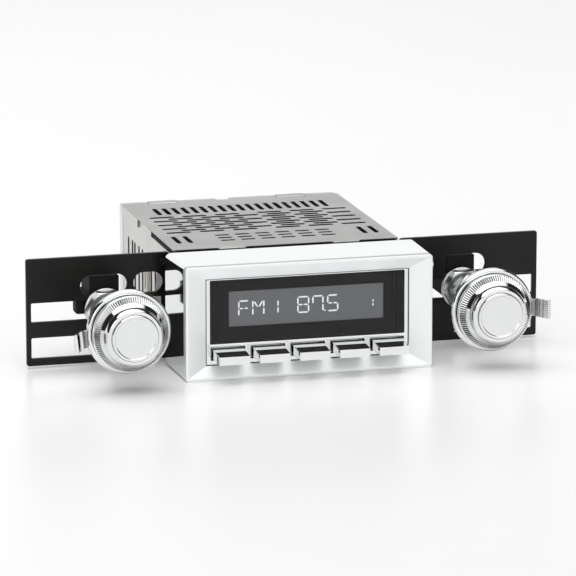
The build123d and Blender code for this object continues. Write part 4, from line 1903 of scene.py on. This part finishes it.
# ------------------------------------------------------------------ the chassis
@dataclass
class Chassis:
    """The slotted tub and cover, the rear panel and block, and the side plates."""

    sheet: float = 0.8
    half: float = 51.8
    front: float = 40.0
    rear: float = 142.6
    top: float = 50.1
    bend: float = 1.0
    cover_half: float = 52.65
    cover_top: float = 50.95
    block: tuple[float, float] = (143.7, 150.0)
    fin_root: float = 146.4
    step: float = 86.1
    side_slots: tuple[float, ...] = (54, 62, 70, 78, 86, 103.5, 110.7, 119, 124, 132)
    slot_heights: tuple[float, float] = (12.0, 38.0)
    lip_bend: float = 0.9
    tongues: tuple[tuple[float, float, float, float], ...] = (
        (-32, -19, 37.6, 41.2), (21, 34, 37.6, 41.2),
        (-39.8, -25.4, 141.4, 146.4), (22, 36.5, 141.4, 146.4),
    )

    def tub(self) -> None:
        """The tub: one flat pattern with both sides folded up, slots cut in all three."""
        start = self.half - self.bend
        spare = self.bend * (math.pi / 2 - 1)

        def up(height: float) -> float:
            """Where a height on the side lies on the pattern."""
            return self.half + spare + height - self.bend

        # The sides stand lower ahead of the step, where the front frame's black bars paint the
        # shadow under the cover's edges.
        high, low = up(self.top), up(47.6)
        corners = [
            (-low, self.front), (low, self.front), (low, self.step), (high, self.step),
            (high, self.rear), (-high, self.rear), (-high, self.step), (-low, self.step),
        ]
        outline = eased(corners, 0.3, 2, ring=True)
        foot, head = (up(height) for height in self.slot_heights)
        middle, length = (foot + head) / 2, head - foot
        holes = [
            slot(side * middle, depth, length, 2.8)
            for side in (-1, 1)
            for depth in self.side_slots
        ]
        holes += [
            rectangle(*sorted((side * up(20.0), side * up(34.0))), 90.5, 97.0, 0.3)
            for side in (-1, 1)
        ]
        holes += [slot(x, depth, 2.0, 12.0) for x in range(-36, 37, 8) for depth in (68.0, 110.0)]
        turns = start + self.bend * np.linspace(0, math.pi / 2, 5)
        # The inner face and the slot walls take the near-black finish: painted shade.
        sheet = Sheet(outline, holes, self.sheet, 0.1, (*turns, *-turns), far_paint=1)
        lay = folded(
            start, self.bend, lambda along, aside, v: np.stack([along, FRONT_Y + v, aside], -1)
        )
        piece("chassis_shell", [sheet.shell(lay)], [Finish.STEEL, Finish.INSIDE], "chassis_tub")

    def vents(self) -> list[np.ndarray]:
        """Lays out the slots in the cover.

        Returns:
            The rear row, the long pair at each front corner, the crossed rows and the block.
        """
        cross, cross_pitch, row_pitch = (11.7, 2.7), 15.6, 8.47
        found = [slot((i - 9) * 4.44 - 0.35, 122.4, 2.2, 14.2) for i in range(19)]
        found += [slot(x, 60.2, 2.2, 14.5) for x in (-46.1, -40.8, 40.8, 46.1)]
        found += [
            slot(side * (41.25 - i * cross_pitch), 109.5 - row * row_pitch, *cross)
            for row in range(5)
            for i in range(3)
            for side in (-1, 1)
        ]
        found += [
            slot((i - 2) * cross_pitch - 2.1, 105.2 - row * row_pitch, *cross)
            for row in range(4)
            for i in range(5)
        ]
        found += [
            slot((i - 2.5) * 9.4, 54.5 + row * 5.6, 6.8, 2.2) for row in range(3) for i in range(6)
        ]
        return found

    def cover(self) -> None:
        """The cover: its rear flanges fold down, and four tongues hook over its neighbours."""
        bend, foot, notch = self.lip_bend, 46.8, 110.0
        start = self.cover_half - bend
        lip, flange = start + 0.75, start + bend * math.pi / 2 + (self.cover_top - bend - foot)
        corners = [
            (-lip, self.front), (lip, self.front), (lip, notch), (flange, notch),
            (flange, self.rear), (-flange, self.rear), (-flange, notch), (-lip, notch),
        ]
        turns = start + bend * np.linspace(0, math.pi / 2, 5)
        # The inner face and the slot walls take the near-black finish: painted shade.
        sheet = Sheet(
            eased(corners, 0.4, 2, ring=True), self.vents(), self.sheet, 0.05, (*turns, *-turns),
            far_paint=1,
        )
        top = self.cover_top
        lay = folded(
            start, bend, lambda along, aside, v: np.stack([along, FRONT_Y + v, top - aside], -1)
        )
        tongues = [
            Sheet(rectangle(*place, 1.2), [], 0.85, 0.22, steps=3).shell(level(51.2))
            for place in self.tongues
        ]
        shells = [sheet.shell(lay), *tongues]
        piece("cover_plate", shells, [Finish.STEEL, Finish.INSIDE], "top_cover")

    def rear_block(self) -> None:
        """The rear panel, and the finned block behind it with its socket window."""
        corner_holes = [circle(x, z, 1.5, 24) for x, z in CORNER_SCREWS]
        amplifier_holes = [circle(x, z, 1.5, 24) for x, z in AMPLIFIER_SCREWS]
        sockets = [circle(*ANTENNA, 4.6, 40), rectangle(23, 42, 12, 22, 0.4)]
        holes = [*corner_holes, *amplifier_holes, *sockets]
        panel = Sheet(rectangle(-self.half, self.half, 0.4, 50.0, 0.5), holes, 1.05, 0.1)
        piece("rear_panel_sheet", [panel.shell(facing(142.65))], [Finish.STEEL], "rear_panel")
        near, far = self.block
        window = rectangle(3.0, 47.5, 6.0, 43.5, 0.8)
        stud = circle(*REAR_STUD, 2.55, 32)
        wide, low, top, step = 52.0, 1.5, 50.2, 47.6
        notched = [
            (wide, low), (wide, top), (0.5, top), (0.5, step), (-5.7, step), (-5.7, top),
            (-wide, top),
        ]
        root = Sheet(
            eased([(-wide, low), *notched], 0.4, 2, ring=True),
            [window, stud, *corner_holes, *amplifier_holes],
            self.fin_root - near,
            0.2,
        )
        fins_left, fins_right, fins_top, overlap = -43.5, -9.5, 47.0, 0.4
        frame_edge = [
            (fins_right, low), *notched, (-wide, low), (fins_left, low), (fins_left, fins_top),
            (fins_right, fins_top),
        ]
        body = Sheet(
            eased(frame_edge, 0.5, 3, ring=True),
            [window, stud, *corner_holes],
            far - self.fin_root + overlap,
            0.35,
            steps=3,
        )
        start = self.fin_root - overlap
        shells = [root.shell(facing(near)), body.shell(facing(start))]
        for number in range(10):
            x = -40.9 + number * 3.2
            shells.append(bar(x - 0.6, x + 0.6, start, far, low, 47.3, 0.25))
        piece("finned_block", shells, [Finish.ALUMINIUM], "heat_sink")

    def plate(self, side: Side) -> None:
        """A side plate: one flat pattern with its flange folded back along the chassis.

        Args:
            side: the side that it is on.
        """
        inner, end, front, bend, thick, length = 51.85, 119.0, 42.5, 1.2, 2.0, 27.5
        foot, top, flange_foot, flange_top, window_end = 1.06, 49.8, 3.0, 46.0, 116.8
        start = inner + bend
        fold = start - bend * math.pi / 2
        edge = fold - (length - bend)

        def back(depth: float) -> float:
            """Where a depth on the flange lies on the pattern."""
            return fold - (depth - front - bend)

        corners = [
            (end, foot), (end, top), (start + 1.0, top), (start - 0.6, flange_top),
            (back(62.0), flange_top), (edge, 28.0), (edge, 8.0), (back(66.0), flange_foot),
            (start - 0.6, flange_foot), (start + 1.0, foot),
        ]
        holes = [
            rectangle(57.5, window_end, 21.0, 29.7, 0.6),
            rectangle(80.0, window_end, 4.5, 13.8, 0.6),
            slot(83.65, 36.15, 21.5, 9.9, 10),
            slot(63.45, 36.45, 13.3, 9.3, 10),
            circle(back(50.5), 18.0, 2.1),
            circle(back(61.0), 18.0, 2.1),
        ]
        sign = side.value

        def lay(u: np.ndarray, v: np.ndarray, w: np.ndarray) -> np.ndarray:
            """Folds the pattern: past the start it turns back round an arc of the bend.

            Args:
                u: the place across.
                v: the height.
                w: the depth below the face.

            Returns:
                The points.
            """
            past = (start - u).clip(0, None)
            turn = (past / bend).clip(0, math.pi / 2)
            rest = past - turn * bend
            reach = bend - w
            along = np.maximum(u, start) - reach * np.sin(turn) - rest * np.cos(turn)
            aside = bend - reach * np.cos(turn) + rest * np.sin(turn)
            return np.stack([sign * along, FRONT_Y + front + aside, v], -1)

        turns = start - bend * np.linspace(0, math.pi / 2, 6)
        pattern = Sheet(eased(corners, 1.2, 5, ring=True), holes, thick, 0.3, tuple(turns), 3)
        dimple = [
            (0.0, 42.35), (0.55, 42.3), (0.8, 42.02), (1.15, 41.98), (1.5, 42.15), (1.7, 42.6),
            (0.0, 42.9),
        ]
        shells = [pattern.shell(lay), spun(eased(dimple, 0.12, 3), sign * 56.7, 45.2, 40)]
        piece(f"{side.word}_side_plate", shells, [Finish.COAT], f"{side.word}_bracket")

    def build(self) -> None:
        """Builds the sheet metal, the rear block and the side plates."""
        self.tub()
        self.cover()
        self.rear_block()
        for side in Side:
            self.plate(side)


@dataclass
class RearSockets:
    """The aerial socket, the harness socket and the pair of line jacks."""

    jack_xs: tuple[float, float] = (25.0, 39.0)
    jack_z: float = 35.0

    def antenna_socket(self) -> None:
        """A turned socket: a rolled mouth, a deep bore and a narrow contact hole."""
        outline = [
            (0.0, 141.0), (1.7, 141.0), (1.7, 145.0), (4.3, 145.0), (4.3, 156.0), (5.6, 156.0),
            (6.2, 155.3), (6.2, 152.5), (5.8, 152.1), (5.8, 151.3), (6.2, 150.9), (6.2, 143.7),
            (4.5, 143.7), (4.5, 137.0), (0.0, 137.0),
        ]
        shape = spun(eased(outline, 0.22, 3), *ANTENNA, 96)
        piece("antenna_socket_shape", [shape], [Finish.NICKEL], "antenna_socket")

    def jacks(self) -> None:
        """A block that carries two plated barrels with coloured inserts."""
        height, front, rear = self.jack_z, 143.72, 146.2
        rows = [
            (0.5, 0.3, 0.1, front, height), (14.4, 6.4, 0.6, front, height),
            (14.4, 6.4, 0.6, rear, height), (0.5, 0.3, 0.1, rear, height),
        ]
        barrel = [
            (2.9, 146.1), (4.15, 146.1), (4.15, 153.0), (3.9, 153.5), (3.35, 153.5),
            (3.2, 153.2), (2.9, 146.1),
        ]
        insert = [
            (0.0, 146.15), (3.25, 146.15), (3.25, 152.7), (2.9, 152.95), (1.7, 152.95),
            (1.65, 152.8), (1.65, 147.0), (0.0, 147.0),
        ]
        shells = [loops(eased(rows, 0.25, 3), sum(self.jack_xs) / 2)]
        for x, inside in zip(self.jack_xs, (2, 3)):
            for profile, paint in ((barrel, 1), (insert, inside)):
                shells.append(spun(eased(profile, 0.12, 3), x, height, 72).painted(paint))
        finishes = [Finish.PLASTIC, Finish.NICKEL, Finish.RED, Finish.PALE]
        piece("line_jacks", shells, finishes, "audio_jacks")

    def harness(self) -> None:
        """A walled socket with two rows of round-tipped pins."""
        places = [(23.9 + i * 2.457, z) for i in range(8) for z in (14.5, 19.5)]
        bores = [circle(x, z, 0.45, 12) for x, z in places]
        outer = rectangle(21.0, 44.0, 10.0, 24.0, 0.8)
        base = Sheet(outer, bores, 2.3, 0.12)
        walls = Sheet(outer, [rectangle(22.3, 42.7, 11.3, 22.7, 0.4)], 7.0, 0.25)
        plug = Sheet(rectangle(23.1, 41.9, 12.1, 21.9, 0.4), bores, 5.8, 0.15)
        shells = [base.shell(facing(143.7)), walls.shell(facing(146.0)), plug.shell(facing(138.0))]
        piece("harness_shroud", shells, [Finish.PLASTIC], "harness_socket")
        outline = [(0.0, 136.0), (0.42, 136.3), (0.42, 151.0), (0.2, 151.5), (0.0, 151.5)]
        pins = [spun(np.array(outline), x, z, 12) for x, z in places]
        piece("harness_pin_rows", pins, [Finish.BRASS], "harness_pins", sharp=50.0)

    def build(self) -> None:
        """Builds the three sockets and the pins."""
        self.antenna_socket()
        self.jacks()
        self.harness()


@dataclass
class Capacitors:
    """Three filter capacitors: a sleeve with a groove, and a rim round a sunken top."""

    places: tuple[tuple[float, float], ...] = ((16.0, 112.0), (31.0, 112.0), (31.0, 94.0))
    radius: float = 6.3
    foot: float = 9.6
    top: float = 32.0

    def build(self) -> None:
        """Builds the capacitors: a profile turned about an upright line."""
        outline = [
            (0.0, self.foot), (self.radius - 0.2, self.foot), (self.radius, self.foot + 0.5),
            (self.radius, self.foot + 2.0), (self.radius - 0.6, self.foot + 2.7),
            (self.radius, self.foot + 3.4), (self.radius, self.top - 0.5),
            (self.radius - 0.5, self.top), (self.radius - 0.9, self.top - 0.35),
            (0.0, self.top - 0.35),
        ]
        profile = eased(outline, 0.25, 3)
        columns = 64
        angle = np.arange(columns)[None, :] * (2 * math.pi / columns)
        shells = []
        for x, depth in self.places:
            grid = np.stack(
                [
                    x + profile[:, :1] * np.cos(angle),
                    FRONT_Y + depth + profile[:, :1] * np.sin(angle),
                    np.repeat(profile[:, 1:], columns, 1),
                ],
                -1,
            )
            shells.append(grid_shell(grid))
        piece("filter_capacitor_set", shells, [Finish.SLEEVE], "filter_capacitors")


# ------------------------------------------------------------------ studio
@dataclass
class Studio:
    """A plain pale floor, soft light and the camera.

    The surround is white, with a dark patch that polished faces mirror. Each pair of numbers on
    the patch and the glow is where a smooth step of the view direction starts and ends.
    """

    floor_half: float = 3.0
    patch_foot: tuple[float, float] = (0.36, 0.46)
    patch_arch: float = 0.35
    patch_top: tuple[float, float] = (0.74, 0.84)
    patch_side: tuple[float, float] = (-0.55, -0.4)
    patch_grey: float = 0.02
    sky: float = 1.13
    glow: float = 0.6
    glow_from: tuple[float, float] = (0.7, 0.95)
    camera_place: tuple[float, float, float] = (-0.49881, -1.90306, 0.47351)
    camera_aim: tuple[float, float, float] = (0.2512, 0.9420, -0.2228)
    lens: float = 275.98

    def floor(self) -> None:
        """A wide square of pale, faintly glossy floor."""
        half = self.floor_half
        mesh = bpy.data.meshes.new("floor")
        corners = [(-half, -half, 0), (half, -half, 0), (half, half, 0), (-half, half, 0)]
        mesh.from_pydata(corners, [], [(0, 1, 2, 3)])
        floor = bpy.data.objects.new("floor", mesh)
        bpy.context.scene.collection.objects.link(floor)
        shader = Shader("floor_board")
        clouds = shader.noise(3.0, 2.0)
        floor.data.materials.append(
            shader.surface(
                {
                    "Base Color": shader.mixed(clouds, (0.9, 0.9, 0.895), (0.88, 0.88, 0.875)),
                    "Roughness": (clouds - 0.5) * 0.04 + 0.3,
                    "Specular IOR Level": 0.5,
                }
            )
        )

    def light(self) -> None:
        """A white surround with a dark patch, a wide overhead light and a front one."""
        surround = Shader("surround", world=True)
        bpy.context.scene.world = surround.material
        direction = surround.tone("ShaderNodeTexCoord", output="Generated")
        split = surround.node("ShaderNodeSeparateXYZ", None, {0: direction})
        across, back, up = (Tone(surround, socket) for socket in split.outputs)
        low = (up + across.size() * self.patch_arch).rise(*self.patch_foot)
        high = 1.0 - up.rise(*self.patch_top)
        shade = low * high * back.rise(*self.patch_side)
        colour = surround.mixed(shade, (1.0, 1.0, 1.0), (self.patch_grey,) * 3)
        strength = up.rise(*self.glow_from) * self.glow + self.sky
        sky = surround.node("ShaderNodeBackground", None, {"Color": colour, "Strength": strength})
        end = surround.node("ShaderNodeOutputWorld")
        surround.links.new(sky.outputs[0], end.inputs[0])
        for name, place_at, size, power in (
            ("overhead", (-0.3, 0.1, 1.6), 1.6, 10.5),
            ("front_left", (-1.6, -1.4, 1.0), 1.0, 2.5),
        ):
            data = bpy.data.lights.new(name, "AREA")
            data.size, data.energy = size, power
            lamp = bpy.data.objects.new(name, data)
            lamp.location = place_at
            lamp.rotation_mode = "QUATERNION"
            lamp.rotation_quaternion = (-Vector(place_at)).to_track_quat("-Z", "Y")
            bpy.context.scene.collection.objects.link(lamp)
        bpy.context.scene.view_settings.view_transform = "Standard"

    def camera(self) -> None:
        """The camera: a long lens, left of the front and above it."""
        data = bpy.data.cameras.new("camera")
        data.lens, data.sensor_width = self.lens, 36.0
        data.clip_start, data.clip_end = 0.05, 50.0
        camera = bpy.data.objects.new("camera", data)
        camera.location = self.camera_place
        camera.rotation_mode = "QUATERNION"
        camera.rotation_quaternion = Vector(self.camera_aim).to_track_quat("-Z", "Y")
        bpy.context.scene.collection.objects.link(camera)
        bpy.context.scene.camera = camera

    def build(self) -> None:
        """Builds the floor, the light and the camera."""
        self.floor()
        self.light()
        self.camera()


def dress_the_rest() -> None:
    """Gives every CAD node that is still shown the finish of its slot."""
    for name, node in frame["nodes"].items():
        if not node.hide_render:
            finish = SLOT_FINISH[SLOT_OF_NODE[name]]
            for slot in node.material_slots:
                slot.material = finish.material
            LOG.info("%s keeps its CAD shape in %s", name, finish.value.name)


def main() -> None:
    """Builds the radio in order, then the studio."""
    logging.basicConfig(level=logging.INFO, format="%(name)s: %(message)s")
    assemblies = [
        FrontTrim(),
        Display(),
        PushButtons(),
        ControlShaft(Side.LEFT, lever_drop=6.0),
        ControlShaft(Side.RIGHT),
        Chassis(),
        Screws(),
        RearSockets(),
        Capacitors(),
        Studio(),
    ]
    for assembly in assemblies:
        assembly.build()
    dress_the_rest()


if __name__ == "__main__":
    main()
